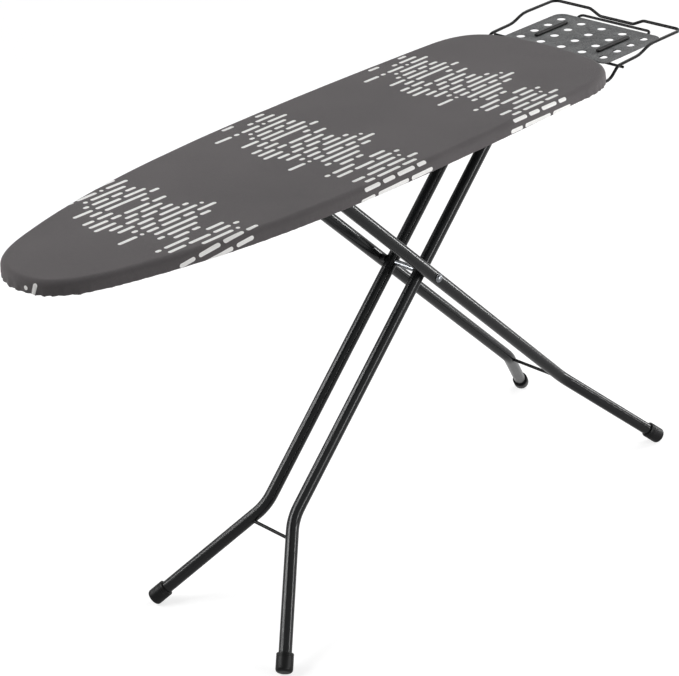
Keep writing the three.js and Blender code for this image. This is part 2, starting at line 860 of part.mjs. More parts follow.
function restPlate() {
  const shape = new THREE.Shape();
  const corners = [
    { end: -1, side: -1 },
    { end: 1, side: -1 },
    { end: 1, side: 1 },
    { end: -1, side: 1 },
  ];
  corners.forEach(({ end, side }, i) => {
    const radius = end > 0 ? plateTailRadius : plateBoardRadius;
    const x = end > 0 ? plateTailX - radius : plateBoardX + radius;
    const y = side * (plateHalfWidth - radius);
    shape.absarc(x, y, radius, ((i + 2) * Math.PI) / 2, ((i + 3) * Math.PI) / 2);
  });
  for (let row = 0; row < holeRows; row += 1) {
    for (let column = 0; column < holeColumns; column += 1) {
      const x = plateTailX - lastRowInset - row * holePitchX;
      const y = (column - (holeColumns - 1) / 2) * holePitchY;
      shape.holes.push(new THREE.Path().absarc(x, y, holeDiameter / 2, 0, 2 * Math.PI, true));
    }
  }
  const geometry = new THREE.ExtrudeGeometry(shape, {
    depth: plateThickness,
    bevelEnabled: false,
    curveSegments: 6,
  });
  return named("rest_plate", solid(geometry.translate(0, 0, plateLow)), platePaint);
}

// A silicone strip between the two outermost columns of holes on one side.
function restStrip(name, side) {
  const y = side * holePitchY * (holeColumns / 2 - 1);
  const radius = stripWidth / 2;
  const toX = plateTailX - stripTailInset - radius;
  const fromX = plateBoardX + stripBoardInset + radius;
  const shape = new THREE.Shape();
  shape.absarc(fromX, y, radius, Math.PI / 2, (3 * Math.PI) / 2);
  shape.absarc(toX, y, radius, -Math.PI / 2, Math.PI / 2);
  const geometry = new THREE.ExtrudeGeometry(shape, {
    depth: stripHeight,
    bevelEnabled: false,
    curveSegments: 6,
  });
  return named(name, solid(geometry.translate(0, 0, plateTopHeight + seatGap)), silicone);
}

// The outer wire: from the rear brace under the hem, up beside the plate and round its tail, where
// it dips in the middle.
function rimWireLoop() {
  const braceHeight = braceLow - seatGap - rimWire / 2;
  const dropX = rearBraceX + clipWidth / 2 + 2;
  const side = [
    [rearBraceX - rimEndInset, rimHalfWidth, braceHeight],
    [dropX, rimHalfWidth, braceHeight],
    [dropX + rimDropLength, rimHalfWidth, rimUnderHeight],
    [rimRiseX, rimHalfWidth, rimUnderHeight],
    [rimRiseX + rimRiseLength, rimHalfWidth, rimLowHeight],
    [rimKinkX, rimHalfWidth, rimKinkHeight],
    [rimKinkX + rimKinkLength, rimHalfWidth, rimHighHeight],
    [rimTailX, rimHalfWidth, rimHighHeight, rimCornerRadius],
    [rimTailX, rimDipHalfWidth + rimDipRamp, rimHighHeight],
    [rimTailX, rimDipHalfWidth, rimDipHeight],
  ];
  const otherSide = side.map(([x, y, ...others]) => [x, -y, ...others]).reverse();
  const path = new BentPath([...side, ...otherSide], rimBendRadius);
  return named("rim_wire", swept(path, rimWire / 2, 10), wirePaint);
}

// The wire under the plate. Its crosspiece is welded to the dip of the outer wire.
function carrierWireLoop() {
  const tail = rimTailX - carrierTailSetback;
  const side = [
    [rodX + carrierWire / 2 + seatGap, carrierHalfWidth, carrierHeight],
    [plateTailX + 1, carrierHalfWidth, carrierHeight],
    [tail, carrierHalfWidth, carrierTailHeight],
  ];
  const otherSide = side.map(([x, y, z]) => [x, -y, z]).reverse();
  const path = new BentPath([...side, ...otherSide], carrierBendRadius);
  return named("carrier_wire", swept(path, carrierWire / 2, 10), wirePaint);
}

function crossRod() {
  const half = rimHalfWidth + rodOverhang;
  const body = rod([rodX, -half, carrierHeight], [rodX, half, carrierHeight], carrierWire / 2, 12);
  return named("cross_rod", body, wirePaint);
}

// A clip that hooks under the outer wire and is screwed to the rear brace.
function restClip(name, side) {
  const high = braceLow - seatGap;
  const wallY = rimHalfWidth - rimWire / 2 - seatGap;
  const hookY = rimHalfWidth + rimWire / 2;
  const hookHigh = braceLow - 2 * seatGap - rimWire;
  const profile = [
    [wallY - clipThickness - clipTab, high],
    [wallY, high],
    [wallY, hookHigh],
    [hookY, hookHigh],
    [hookY, hookHigh - clipThickness],
    [wallY - clipThickness, hookHigh - clipThickness],
    [wallY - clipThickness, high - clipThickness],
    [wallY - clipThickness - clipTab, high - clipThickness],
  ];
  const body = extrudedAlongX(profile, rearBraceX - clipWidth / 2, rearBraceX + clipWidth / 2, side);
  const bore = rod(
    [rearBraceX, side * clipScrewY, high - clipThickness - 1],
    [rearBraceX, side * clipScrewY, high + 1],
    screwDiameter / 2 + runGap,
    12,
  );
  return named(name, cut(body, bore), zinc);
}

function clipScrew(name, side) {
  const head = screwHeadDiameter / 2;
  const shank = screwDiameter / 2;
  const low = braceLow - 2 * seatGap - clipThickness - screwHeadHeight;
  const length = braceLow + braceWall + screwOverhang - low;
  const profile = [
    [0, 0],
    [head * 0.7, 0],
    [head, screwHeadHeight / 2],
    [head, screwHeadHeight],
    [shank, screwHeadHeight],
    [shank, length],
    [0, length],
  ];
  return named(name, turned(profile, [rearBraceX, side * clipScrewY, low], [0, 0, 1], 12), zinc);
}

// ---- Assembly ----

const sides = [
  ["left", 1],
  ["right", -1],
];

function boardGroup() {
  const pinFaceY = bracketOuterY + seatGap;
  const group = new THREE.Group();
  group.add(
    cover(),
    feltPad(),
    meshTop(),
    hemCord(),
    cordLock(),
    named("front_brace", braceSolid(frontBraceX), meshPaint),
    named("middle_brace", braceSolid(middleBraceX), meshPaint),
    rearBrace(),
    slideChannel(),
    crossPin("hinge_pin", hinge, pinFaceY + pinCapHeight - pinCapEdge - seatGap),
    leverBracket("lever_bracket_front", channelNoseX + leverBracketMargin),
    leverBracket("lever_bracket_rear", channelTailX - leverBracketMargin - leverBracketThickness),
    leverSpring(),
    restPlate(),
    rimWireLoop(),
    carrierWireLoop(),
    crossRod(),
  );
  sides.forEach(([word, side]) => {
    group.add(
      hingeBracket(`hinge_bracket_${word}`, side),
      pinCap(`hinge_cap_${word}`, hinge, side, pinFaceY, pinCapDiameter, pinCapHeight),
      restStrip(`rest_strip_${word}`, side),
      restClip(`rest_clip_${word}`, side),
      clipScrew(`clip_screw_${word}`, side),
    );
  });
  return group;
}

function innerLegGroup() {
  const halfRoom = innerHalfSpacing - tubeRadius - seatGap; // between the two tubes
  const washerFrom = innerHalfSpacing + tubeRadius + seatGap;
  const washerTo = outerHalfSpacing - tubeRadius - seatGap;
  const capFaceY = outerHalfSpacing + tubeRadius + seatGap;
  const group = new THREE.Group();
  group.add(
    tieWire("inner_tie_wire", innerFrame),
    sleeve("hinge_sleeve", hinge, -halfRoom, halfRoom, hingeSleeveDiameter, meshPaint),
    crossPin("pivot_axle", pivot, capFaceY + axleCapHeight - pinCapEdge - seatGap),
    sleeve("axle_sleeve", pivot, -halfRoom, halfRoom, axleSleeveDiameter, zinc),
  );
  sides.forEach(([word, side]) => {
    group.add(
      legTube(`inner_leg_${word}`, innerFrame, side, hingePinDiameter),
      tubePlug(`inner_plug_${word}`, innerFrame, side),
      footCap(`inner_foot_${word}`, innerFrame, side),
      sideSleeve(`pivot_washer_${word}`, pivot, side, washerFrom, washerTo, washerDiameter, nylon),
      pinCap(`axle_cap_${word}`, pivot, side, capFaceY, axleCapDiameter, axleCapHeight),
    );
  });
  return group;
}

function outerLegGroup() {
  const barHalfLength = outerHalfSpacing + tubeRadius + barOverhang;
  const glideFrom = channelWidth / 2 + seatGap;
  const glideTo = glideFrom + glideWidth;
  const group = new THREE.Group();
  group.add(
    tieWire("outer_tie_wire", outerFrame),
    crossPin("slider_bar", slider, barHalfLength),
  );
  sides.forEach(([word, side]) => {
    group.add(
      legTube(`outer_leg_${word}`, outerFrame, side, barDiameter),
      tubePlug(`outer_plug_${word}`, outerFrame, side),
      footCap(`outer_foot_${word}`, outerFrame, side),
      sideSleeve(`glide_${word}`, slider, side, glideFrom, glideTo, glideDiameter, nylon),
    );
  });
  return group;
}

function heightLeverGroup() {
  const group = new THREE.Group();
  group.add(leverRod(), leverGrip(), keeperPlate());
  return group;
}

const ironingBoard = new THREE.Group();
ironingBoard.add(boardGroup(), innerLegGroup(), outerLegGroup(), heightLeverGroup());
ironingBoard.position.x = -(noseX + restEndX) / 2;

export default ironingBoard;
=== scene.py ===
# An ironing board on scissor legs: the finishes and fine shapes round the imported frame.
# Metres, +Z up. The nose points to -X, the iron rest to +X, and z = 0 is the floor.
import json
import math
import random
from functools import partialmethod

import bpy
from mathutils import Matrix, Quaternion, Vector, noise
from mathutils.geometry import delaunay_2d_cdt


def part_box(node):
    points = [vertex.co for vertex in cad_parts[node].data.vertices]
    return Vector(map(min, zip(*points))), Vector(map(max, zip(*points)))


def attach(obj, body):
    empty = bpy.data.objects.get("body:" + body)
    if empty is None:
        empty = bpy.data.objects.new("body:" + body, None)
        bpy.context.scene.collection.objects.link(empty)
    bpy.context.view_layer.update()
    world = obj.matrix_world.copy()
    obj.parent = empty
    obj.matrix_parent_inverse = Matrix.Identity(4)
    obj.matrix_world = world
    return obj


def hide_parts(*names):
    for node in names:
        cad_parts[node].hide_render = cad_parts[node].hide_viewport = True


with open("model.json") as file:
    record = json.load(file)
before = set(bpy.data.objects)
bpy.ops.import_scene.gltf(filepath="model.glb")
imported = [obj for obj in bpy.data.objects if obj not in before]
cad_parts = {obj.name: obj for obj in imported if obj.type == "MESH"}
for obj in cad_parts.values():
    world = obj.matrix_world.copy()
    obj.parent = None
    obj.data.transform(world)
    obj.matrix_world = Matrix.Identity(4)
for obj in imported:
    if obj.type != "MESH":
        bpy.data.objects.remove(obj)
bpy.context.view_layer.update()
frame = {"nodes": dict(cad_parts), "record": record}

MM = 0.001
TURN = 2 * math.pi
LEFT_RIGHT = (("left", 1), ("right", -1))
ACROSS = Vector((0, 1, 0))
UPWARDS = Vector((0, 0, 1))


# ---- The places that the frame gives ----

def room(node):
    """A CAD node's lowest and highest corners, and its middle."""
    low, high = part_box(node)
    return low, high, (low + high) / 2


COVER_LOW, COVER_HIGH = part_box("cover")
NOSE_X, TAIL_X = COVER_LOW.x, COVER_HIGH.x
HALF_WIDTH = COVER_HIGH.y
TOP = COVER_HIGH.z
HINGE, PIVOT = (room(node)[2] for node in ("hinge_pin", "pivot_axle"))


# ---- Camera, floor and light ----

WHITE = (1, 1, 1, 1)
AMBIENT = 0.1  # the world's light on the object, where 1 is the white background
MIRRORED = 0.45  # how much of the pale background shows in gloss
FLOOR_GREY = (0.45, 0.45, 0.45, 1)
FLOOR_LIFT = 0.72  # how white the floor is round the feet
ALL_WHITE = (1.5, 6.0)  # the floor turns wholly white between these distances from the object


def set_camera():
    data = bpy.data.cameras.new("camera")
    data.sensor_width, data.lens = 36, 110.205
    data.clip_start, data.clip_end = 0.05, 60
    camera = bpy.data.objects.new("camera", data)
    camera.location = (-2.24609, -2.30153, 2.0871)
    camera.rotation_euler = [math.radians(angle) for angle in (62.587, 3.2765, -45.1916)]
    bpy.context.scene.collection.objects.link(camera)
    bpy.context.scene.camera = camera


def softbox(name, place, aim, size, power, lean=0.0):
    """A soft box that only light and gloss see. It leans round its own axis, in degrees."""
    data = bpy.data.lights.new(name, "AREA")
    data.shape = "RECTANGLE"
    data.size, data.size_y = size
    data.energy = power
    lamp = bpy.data.objects.new(name, data)
    lamp.location = place
    lamp.visible_camera = False
    turn = (Vector(aim) - Vector(place)).to_track_quat("-Z", "Y")
    lamp.rotation_euler = (turn @ Quaternion(UPWARDS, math.radians(lean))).to_euler()
    bpy.context.scene.collection.objects.link(lamp)


def set_studio():
    scene = bpy.context.scene
    scene.view_settings.view_transform = "Standard"
    scene.world = bpy.data.worlds.new("studio")
    scene.world.use_nodes = True
    tree = scene.world.node_tree
    background = tree.nodes["Background"]
    plug(background.inputs["Color"], WHITE)
    plug(background.inputs["Strength"], seen_rays(tree) * (1 - AMBIENT) + AMBIENT)

    fresh()
    bpy.ops.mesh.primitive_grid_add(x_subdivisions=8, y_subdivisions=8, size=40)
    floor = bpy.context.object
    floor.name = "floor"
    paper = Finish(
        "floor_paper", Base_Color=FLOOR_GREY, Roughness=0.9, Specular_IOR_Level=0.1,
        Emission_Color=WHITE,
    )
    x, y, _ = paper.place().parts()
    far_off = (x * x + y * y).root().ramp(*ALL_WHITE)
    paper.feed(Emission_Strength=seen_rays(paper.tree) * (far_off * (1 - FLOOR_LIFT) + FLOOR_LIFT))
    floor.data.materials.append(paper.made)

    legs = (0, 0, 0.4)
    softbox("overhead", (2.6, 0.1, 2.9), (0.1, 0, 0.8), (2.8, 2.0), 58)
    softbox("strip_high", (-1.45, 2.15, 2.1), legs, (0.22, 2.0), 21, -43)
    softbox("strip_back", (-1.95, 1.7, 1.85), legs, (0.26, 2.2), 30, -25)
    softbox("strip_nose", (-2.15, 1.0, 1.95), (-0.15, 0, 0.3), (0.22, 0.8), 10)
    softbox("strip_front", (0.1, -3.2, 0.8), legs, (0.42, 2.3), 46, -43)
    softbox("strip_right", (2.0, -2.45, 1.3), legs, (0.26, 1.1), 22)
    softbox("strip_tail", (2.5, -0.7, 0.4), (0.2, 0, 0.3), (0.26, 1.3), 22)


# ---- Working with nodes ----

def plug(socket, value):
    """Links a signal to a socket, or sets the socket to a plain value."""
    if isinstance(value, Signal):
        socket.id_data.links.new(value.socket, socket)
    else:
        socket.default_value = value


def wired(node, output, *values, **named):
    """An output of a node whose inputs are given: the first ones in their order, and then others
    by their names, with _ for a space."""
    for socket, value in zip(node.inputs, values):
        plug(socket, value)
    for name, value in named.items():
        plug(node.inputs[name.replace("_", " ")], value)
    return Signal(node.outputs[output])


class Signal:
    """A value, colour or place that changes over a surface. Arithmetic on it adds Math nodes."""

    def __init__(self, socket):
        self.socket = socket

    def node(self, kind, **settings):
        """A new node in the same tree."""
        made = self.socket.id_data.nodes.new("ShaderNode" + kind)
        for name, value in settings.items():
            setattr(made, name, value)
        return made

    def math(self, operation, *others):
        return wired(self.node("Math", operation=operation), 0, self, *others)

    __add__ = __radd__ = partialmethod(math, "ADD")
    __mul__ = __rmul__ = partialmethod(math, "MULTIPLY")
    __sub__ = partialmethod(math, "SUBTRACT")
    __truediv__ = partialmethod(math, "DIVIDE")
    floor = partialmethod(math, "FLOOR")
    fraction = partialmethod(math, "FRACT")
    absolute = partialmethod(math, "ABSOLUTE")
    root = partialmethod(math, "SQRT")
    sine = partialmethod(math, "SINE")
    over = partialmethod(math, "GREATER_THAN")
    at_least = partialmethod(math, "MAXIMUM")

    def __rsub__(self, other):
        return self * -1 + other

    def ramp(self, low, high):
        """0 below low, 1 above high, and smooth in between."""
        return wired(self.node("MapRange", interpolation_type="SMOOTHSTEP"), 0, self, low, high)

    def mixed(self, first, second):
        """The colour first where this is 0, and second where it is 1."""
        made = self.node("Mix", data_type="RGBA")
        for number, value in ((0, self), (6, first), (7, second)):
            plug(made.inputs[number], value)
        return Signal(made.outputs[2])

    def parts(self):
        made = self.node("SeparateXYZ")
        plug(made.inputs[0], self)
        return [Signal(socket) for socket in made.outputs]

    def mapped(self, scale, shift=(0, 0, 0)):
        return wired(self.node("Mapping"), 0, Vector=self, Location=shift, Scale=scale)

    def noise(self, scale, detail, **more):
        return wired(self.node("TexNoise"), "Fac", Vector=self, Scale=scale, Detail=detail, **more)

    def cells(self, scale, output="Color"):
        return wired(self.node("TexVoronoi"), output, Vector=self, Scale=scale)

    def effect(self, group, **inputs):
        """The outputs of a shared effect at this place."""
        made = self.node("Group", node_tree=group)
        for name, value in {"Place": self, **inputs}.items():
            plug(made.inputs[name], value)
        return {socket.name: Signal(socket) for socket in made.outputs}


def seen_rays(tree):
    """1 for rays from the camera and through glass, and less for those that gloss sends on."""
    path = tree.nodes.new("ShaderNodeLightPath").outputs
    seen = Signal(path["Is Camera Ray"])
    for kind, share in (("Is Glossy Ray", MIRRORED), ("Is Transmission Ray", 1.0)):
        seen = seen.at_least(Signal(path[kind]) * share)
    return seen


def effect(name, build, **inputs):
    """A shader node group with a place and plain values as inputs, from which build makes its
    outputs."""
    tree = bpy.data.node_groups.new(name, "ShaderNodeTree")
    sockets = tree.interface
    sockets.new_socket("Place", in_out="INPUT", socket_type="NodeSocketVector")
    for key, value in inputs.items():
        made = sockets.new_socket(
            key.replace("_", " "), in_out="INPUT", socket_type="NodeSocketFloat"
        )
        made.default_value = value
    start = tree.nodes.new("NodeGroupInput")
    outputs = build({socket.name: Signal(socket) for socket in start.outputs})
    for key in outputs:
        sockets.new_socket(key, in_out="OUTPUT", socket_type="NodeSocketFloat")
    end = tree.nodes.new("NodeGroupOutput")
    for key, value in outputs.items():
        plug(end.inputs[key], value)
    return tree


def srgb(red, green, blue):
    """A colour written in the 0 to 255 numbers of a paint chart, as a linear one."""
    def linear(value):
        value /= 255
        return value / 12.92 if value <= 0.04045 else ((value + 0.055) / 1.055) ** 2.4
    return (linear(red), linear(green), linear(blue), 1)


# ---- Effects that several finishes share ----

def make_grain(given):
    """Fine orange peel and a sprinkle of lighter and darker specks, as powder paint has."""
    at = given["Place"]
    return {
        "Peel": at.noise(given["Peel"], 2.0),
        "Speck": at.cells(given["Specks"]).parts()[0],
        "Drift": at.noise(given["Drift"], 3.0),
    }


def make_scuffs(given):
    """Small rubbed spots and hairlines, 1 where the finish is dulled."""
    at = given["Place"]
    rubbed = at.noise(given["Spread"], 2.0).ramp(0.56, 0.72)
    hair = at.mapped((9, 60, 9)).noise(given["Lines"], 4.0).ramp(0.66, 0.72)
    return {"Rubbed": rubbed, "Hairline": hair * rubbed}


def make_weave(given):
    """A plain weave of two sets of threads, with slubs."""
    at = given["Place"]
    across, along, _ = at.parts()
    u, v = across * given["Threads"], along * given["Threads"]
    warp, weft = ((side * math.pi).sine().absolute() for side in (u, v))
    over = (u.floor() + v.floor()).math("MODULO", 2.0).absolute()
    slubs = [at.mapped(scale).noise(1.0, 2.0) for scale in ((900, 45, 1), (45, 900, 1))]
    return {"Height": warp * over + weft * (1 - over), "Slub": (slubs[0] + slubs[1]) * 0.5}


def make_dashes(given):
    """Bands of rounded dashes in lanes along the cloth. The place is in metres on the flat cloth."""
    x, y, _ = given["Place"].parts()
    whole_repeats = 40  # moves every place past 0, so that the fraction below never turns over
    wrapped = (x - given["First band"] + given["Repeat"] * (whole_repeats + 0.5)) / given["Repeat"]
    local = (wrapped.fraction() - 0.5) * given["Repeat"]
    lane = (y / given["Lane"]).floor()
    off_lane = y - (lane + 0.5) * given["Lane"]

    def chance(first, second, salt):
        """A number from 0 to 1, always the same one for the same three numbers."""
        spot = wired(x.node("CombineXYZ"), 0, first + salt, second + 17.0 * salt)
        return wired(x.node("TexWhiteNoise", noise_dimensions="2D"), "Value", Vector=spot)

    shift = chance(lane, 3.0, 5.0)
    step = local / given["Cell"] + shift
    cell = (step + 0.5).floor()

    def joint(index):
        """Where one dash of a lane gives way to the next, in cells."""
        return index + (chance(index, lane, 3.0) - 0.5) * given["Jitter"]

    here, before, after = joint(cell), joint(cell - 1.0), joint(cell + 1.0)
    right_of = step.over(here)
    start = here * right_of + before * (1 - right_of)
    end = after * right_of + here * (1 - right_of)
    number = cell + right_of

    def joined(index, place):
        """1 where two dashes well inside the band run together into a long one."""
        inside = 1 - ((place - shift) * given["Cell"]).absolute().over(given["Half band"] * 0.5)
        return inside * (1 - chance(index, lane, 31.0).over(given["Joined"]))

    joined_start, joined_end = joined(number - 1.0, start), joined(number, end)
    radius = given["Width"] * 0.5
    spare = given["Gap"] * 0.5 + radius
    from_start = (spare - (step - start) * given["Cell"]) * (1 - joined_start)
    from_end = (spare - (end - step) * given["Cell"]) * (1 - joined_end)
    beyond = from_start.at_least(from_end).at_least(0.0)
    apart = (beyond * beyond + off_lane * off_lane).root()
    edge = given["Soft"]
    dash = 1 - (apart - radius).ramp(edge * -0.5, edge * 0.5)
    long_enough = ((end - start) * given["Cell"]).over(spare * 1.9)
    centre = ((start + end) * 0.5 - shift) * given["Cell"]
    nose_end = (chance(lane, 5.0, 7.0) - 0.5) * given["Ragged"] - given["Half band"]
    tail_end = (chance(lane, 9.0, 11.0) - 0.5) * given["Ragged"] + given["Half band"]
    kept = centre.over(nose_end) * (1 - centre.over(tail_end)) * long_enough
    kept = kept * chance(number, lane, 23.0).over(given["Missing"])
    return {"Dash": dash * kept.at_least(joined_start).at_least(joined_end)}


GRAIN = effect("powder_grain", make_grain, Peel=900.0, Specks=1400.0, Drift=9.0)
SCUFFS = effect("scuffs", make_scuffs, Spread=24.0, Lines=12.0)
WEAVE = effect("plain_weave", make_weave, Threads=1600.0)
DASHES = effect(
    "dash_print", make_dashes, First_band=-0.438, Repeat=0.352, Lane=0.0163, Cell=0.031,
    Jitter=0.9, Gap=0.0066, Width=0.0073, Soft=0.0006, Half_band=0.073, Ragged=0.05,
    Missing=0.1, Joined=0.32,
)


# ---- Finishes ----

class Finish:
    """A material in the making: its shader, where its pattern is, and its bumps."""

    def __init__(self, name, **sockets):
        self.made = bpy.data.materials.new(name)
        self.made.use_nodes = True
        self.tree = self.made.node_tree
        self.shader = self.tree.nodes["Principled BSDF"]
        self.below = {}
        self.feed(**sockets)

    def place(self):
        return Signal(self.tree.nodes.new("ShaderNodeTexCoord").outputs["Object"])

    def uv(self, name):
        made = self.tree.nodes.new("ShaderNodeUVMap")
        made.uv_map = name
        return Signal(made.outputs[0])

    def feed(self, **values):
        for key, value in values.items():
            plug(self.shader.inputs[key.replace("_", " ")], value)

    def bump(self, height, depth, strength=1.0):
        """Raises the surface by height, from 0 to 1, times depth in metres."""
        raised = wired(
            height.node("Bump"), 0, Distance=depth, Strength=strength, Height=height, **self.below
        )
        self.below = {"Normal": raised}
        self.feed(Normal=raised)


def painted(name, dark, light, roughness, peel, specks, depth, gloss, spread=24.0):
    """Powder paint: a colour that drifts a little, orange peel of some depth, and dull scuffs."""
    it = Finish(name, Specular_IOR_Level=gloss)
    at = it.place()
    grain = at.effect(GRAIN, Peel=peel, Specks=specks)
    worn = at.effect(SCUFFS, Spread=spread)
    tone = grain["Drift"] * 0.5 + grain["Speck"] * 0.5
    it.feed(
        Base_Color=tone.ramp(0.2, 0.8).mixed(dark, light),
        Roughness=grain["Peel"] * 0.1 + worn["Rubbed"] * 0.07 + worn["Hairline"] * 0.12
        + (roughness - 0.05),
    )
    it.bump(grain["Peel"], depth)
    return it.made


def cover_cloth():
    """Dark cotton with the dashes printed on it, a row of stitches in the hem and soft lint."""
    it = Finish(
        "cover_cloth", Sheen_Weight=0.12, Sheen_Roughness=0.5, Specular_IOR_Level=0.2,
        Sheen_Tint=(1, 0.98, 0.97, 1),
    )
    flat = it.uv("flat_cloth").mapped((FLAT_SCALE, FLAT_SCALE, 1), (FLAT_LOW_X, FLAT_LOW_Y, 0))
    weave = flat.effect(WEAVE)
    slub = weave["Slub"]
    dashes = flat.effect(DASHES)["Dash"]
    drift, lint = flat.noise(5.0, 3.0), flat.noise(420.0, 2.0)
    shade = slub * 0.45 + drift * 0.43 + lint * 0.12
    ground = shade.ramp(0.25, 0.75).mixed(srgb(84, 81, 82), srgb(100, 96, 97))
    ink_shade = (slub * 0.6 + lint * 0.4).ramp(0.25, 0.75)
    ink = ink_shade.mixed(srgb(244, 242, 240), srgb(255, 254, 252))
    worn = (slub * 0.5 + lint * 0.5).ramp(0.2, 0.36) * 0.12 + 0.88
    printed = (dashes * worn).mixed(ground, ink)
    stitch, groove = stitch_line(it)
    it.feed(
        Base_Color=stitch.mixed(printed, srgb(66, 64, 65)),
        Roughness=0.86 + slub * 0.12 - dashes * 0.12,
    )
    it.bump(weave["Height"], 0.0001, 0.6)
    it.bump(slub + dashes * 0.2, 0.00018, 0.8)
    it.bump(stitch * 0.7 - groove * 0.5, 0.0006)
    return it.made


def stitch_line(it):
    """The row of stitches that closes the cord's tunnel, and the groove that it pulls."""
    along, out, _ = it.uv("hem_run").parts()
    along, out = along * HEM_RUN_SCALE, out * HEM_RUN_SCALE
    across = (out - STITCH_AT).absolute()
    beat = (along / STITCH_PITCH).fraction()
    thread = beat.ramp(0.08, 0.16) * (1 - beat.ramp(0.78, 0.86))
    return thread * (1 - across.ramp(0.0003, 0.0006)), 1 - across.ramp(0.0004, 0.0022)


def felt_wool():
    """Grey felt: matted fibres with a few blue flecks."""
    it = Finish("felt_wool", Sheen_Weight=0.25, Sheen_Roughness=0.6, Specular_IOR_Level=0.1)
    at = it.place()
    fibres = at.mapped((1, 1, 4)).noise(380.0, 6.0, Distortion=2.5)
    fleck = at.cells(260.0).parts()[1]
    wool = fibres.ramp(0.3, 0.7).mixed(srgb(126, 124, 120), srgb(168, 166, 160))
    it.feed(
        Base_Color=fleck.ramp(0.86, 0.9).mixed(wool, srgb(92, 96, 108)),
        Roughness=fibres * 0.1 + 0.88,
    )
    it.bump(fibres, 0.0008)
    return it.made


def zinc_plate():
    """Bright zinc plating with a faint cloud and a fine spangle."""
    it = Finish("zinc_plate", Metallic=1.0)
    at = it.place()
    cloud = at.noise(70.0, 4.0)
    tone = cloud * 0.6 + at.cells(900.0).parts()[0] * 0.4
    worn = at.effect(SCUFFS, Spread=60.0, Lines=30.0)
    it.feed(
        Base_Color=tone.ramp(0.2, 0.8).mixed(srgb(112, 115, 120), srgb(168, 170, 172)),
        Roughness=cloud * 0.14 + worn["Rubbed"] * 0.15 + 0.14,
    )
    it.bump(cloud, 0.00008)
    return it.made


def moulded(name, dark, light, roughness, pore, depth):
    """Moulded rubber or plastic: a fine spark-eroded texture with dust in its pores."""
    it = Finish(name, Specular_IOR_Level=0.22)
    at = it.place()
    dust = at.noise(55.0, 5.0)
    worn = at.effect(SCUFFS, Spread=45.0, Lines=20.0)
    it.feed(
        Base_Color=(dust.ramp(0.45, 0.8) * 0.7 + worn["Hairline"] * 0.3).mixed(dark, light),
        Roughness=dust * 0.2 + worn["Rubbed"] * 0.08 + (roughness - 0.1),
    )
    it.bump(at.cells(pore, "Distance"), depth)
    return it.made


def cord_yarn():
    """A braid of pale yarns, in slanting bundles, with painted shade in the gaps between the
    bundles.
    """
    it = Finish("cord_yarn", Sheen_Weight=0.2, Sheen_Roughness=0.5, Specular_IOR_Level=0.2)
    x, y, z = it.place().parts()
    slant = ((x + y) * 900.0 + z * 1600.0).sine()
    counter = ((x - y) * 900.0 - z * 1600.0).sine()
    braid = slant.at_least(counter).ramp(-0.2, 1.0)
    # The colour goes darker where the braid is low: painted shade in the gaps between the bundles,
    # not a darker yarn.
    it.feed(
        Base_Color=braid.mixed(srgb(150, 148, 142), srgb(222, 220, 213)),
        Roughness=braid * 0.1 + 0.8,
    )
    it.bump(braid, 0.0003)
    return it.made


# ---- Working with meshes ----

MERGED = 2e-6  # points closer than this are one, in metres
MERGED_FINE = 1e-7  # the same for meshes with very short edges


def fresh():
    """Object mode, with nothing selected."""
    if bpy.context.mode != "OBJECT":
        bpy.ops.object.mode_set(mode="OBJECT")
    bpy.ops.object.select_all(action="DESELECT")


def only(piece):
    """Object mode, with this piece alone selected."""
    fresh()
    piece.select_set(True)
    bpy.context.view_layer.objects.active = piece


def select_by(kind):
    """Selection by vertex, edge or face."""
    modes = [kind == k for k in ("VERT", "EDGE", "FACE")]
    bpy.context.tool_settings.mesh_select_mode = modes


def take_all():
    bpy.ops.mesh.select_all(action="SELECT")


def editing(piece):
    """Edit mode, with the whole mesh selected."""
    only(piece)
    select_by("VERT")
    bpy.ops.object.mode_set(mode="EDIT")
    take_all()


def picking(piece, kind, wanted):
    """Edit mode, with the vertices, edges or faces selected that are wanted."""
    only(piece)
    select_by(kind)
    mesh = piece.data
    parts = {"VERT": mesh.vertices, "EDGE": mesh.edges, "FACE": mesh.polygons}
    for items in parts.values():
        items.foreach_set("select", [False] * len(items))
    for item in parts[kind]:
        item.select = wanted(item)
    bpy.ops.object.mode_set(mode="EDIT")


def settled(piece):
    """Back in object mode, with the piece's place in its mesh."""
    only(piece)
    bpy.ops.object.transform_apply(location=True, rotation=True, scale=True)
    return piece


def tidied(piece, apart=MERGED):
    """Doubles merged and faces turned outwards."""
    editing(piece)
    bpy.ops.mesh.remove_doubles(threshold=apart)
    bpy.ops.mesh.normals_make_consistent(inside=False)
    return settled(piece)


def applied(piece, kind, **settings):
    """Adds a modifier and applies it."""
    only(piece)
    made = piece.modifiers.new(kind.lower(), kind)
    for key, value in settings.items():
        setattr(made, key, value)
    bpy.ops.object.modifier_apply(modifier=made.name)
    return piece


def softened(piece, width, angle=38):
    """Breaks the edges of a piece that are sharper than angle, in degrees."""
    return applied(
        piece, "BEVEL", width=width, segments=2, limit_method="ANGLE",
        angle_limit=math.radians(angle), miter_outer="MITER_ARC",
    )


def thickened(piece, thickness):
    """Gives a sheet its thickness, on the inner side."""
    applied(piece, "SOLIDIFY", thickness=thickness, offset=-1, use_rim=True)


def cut(piece, *cutters):
    """Takes the cutters' shapes out of a piece."""
    for cutter in cutters:
        applied(piece, "BOOLEAN", operation="DIFFERENCE", solver="EXACT", object=cutter)
        bpy.data.objects.remove(cutter)


def as_one(pieces):
    """Joins several pieces into the first of them."""
    only(pieces[0])
    for piece in pieces[1:]:
        piece.select_set(True)
    bpy.ops.object.join()
    return pieces[0]


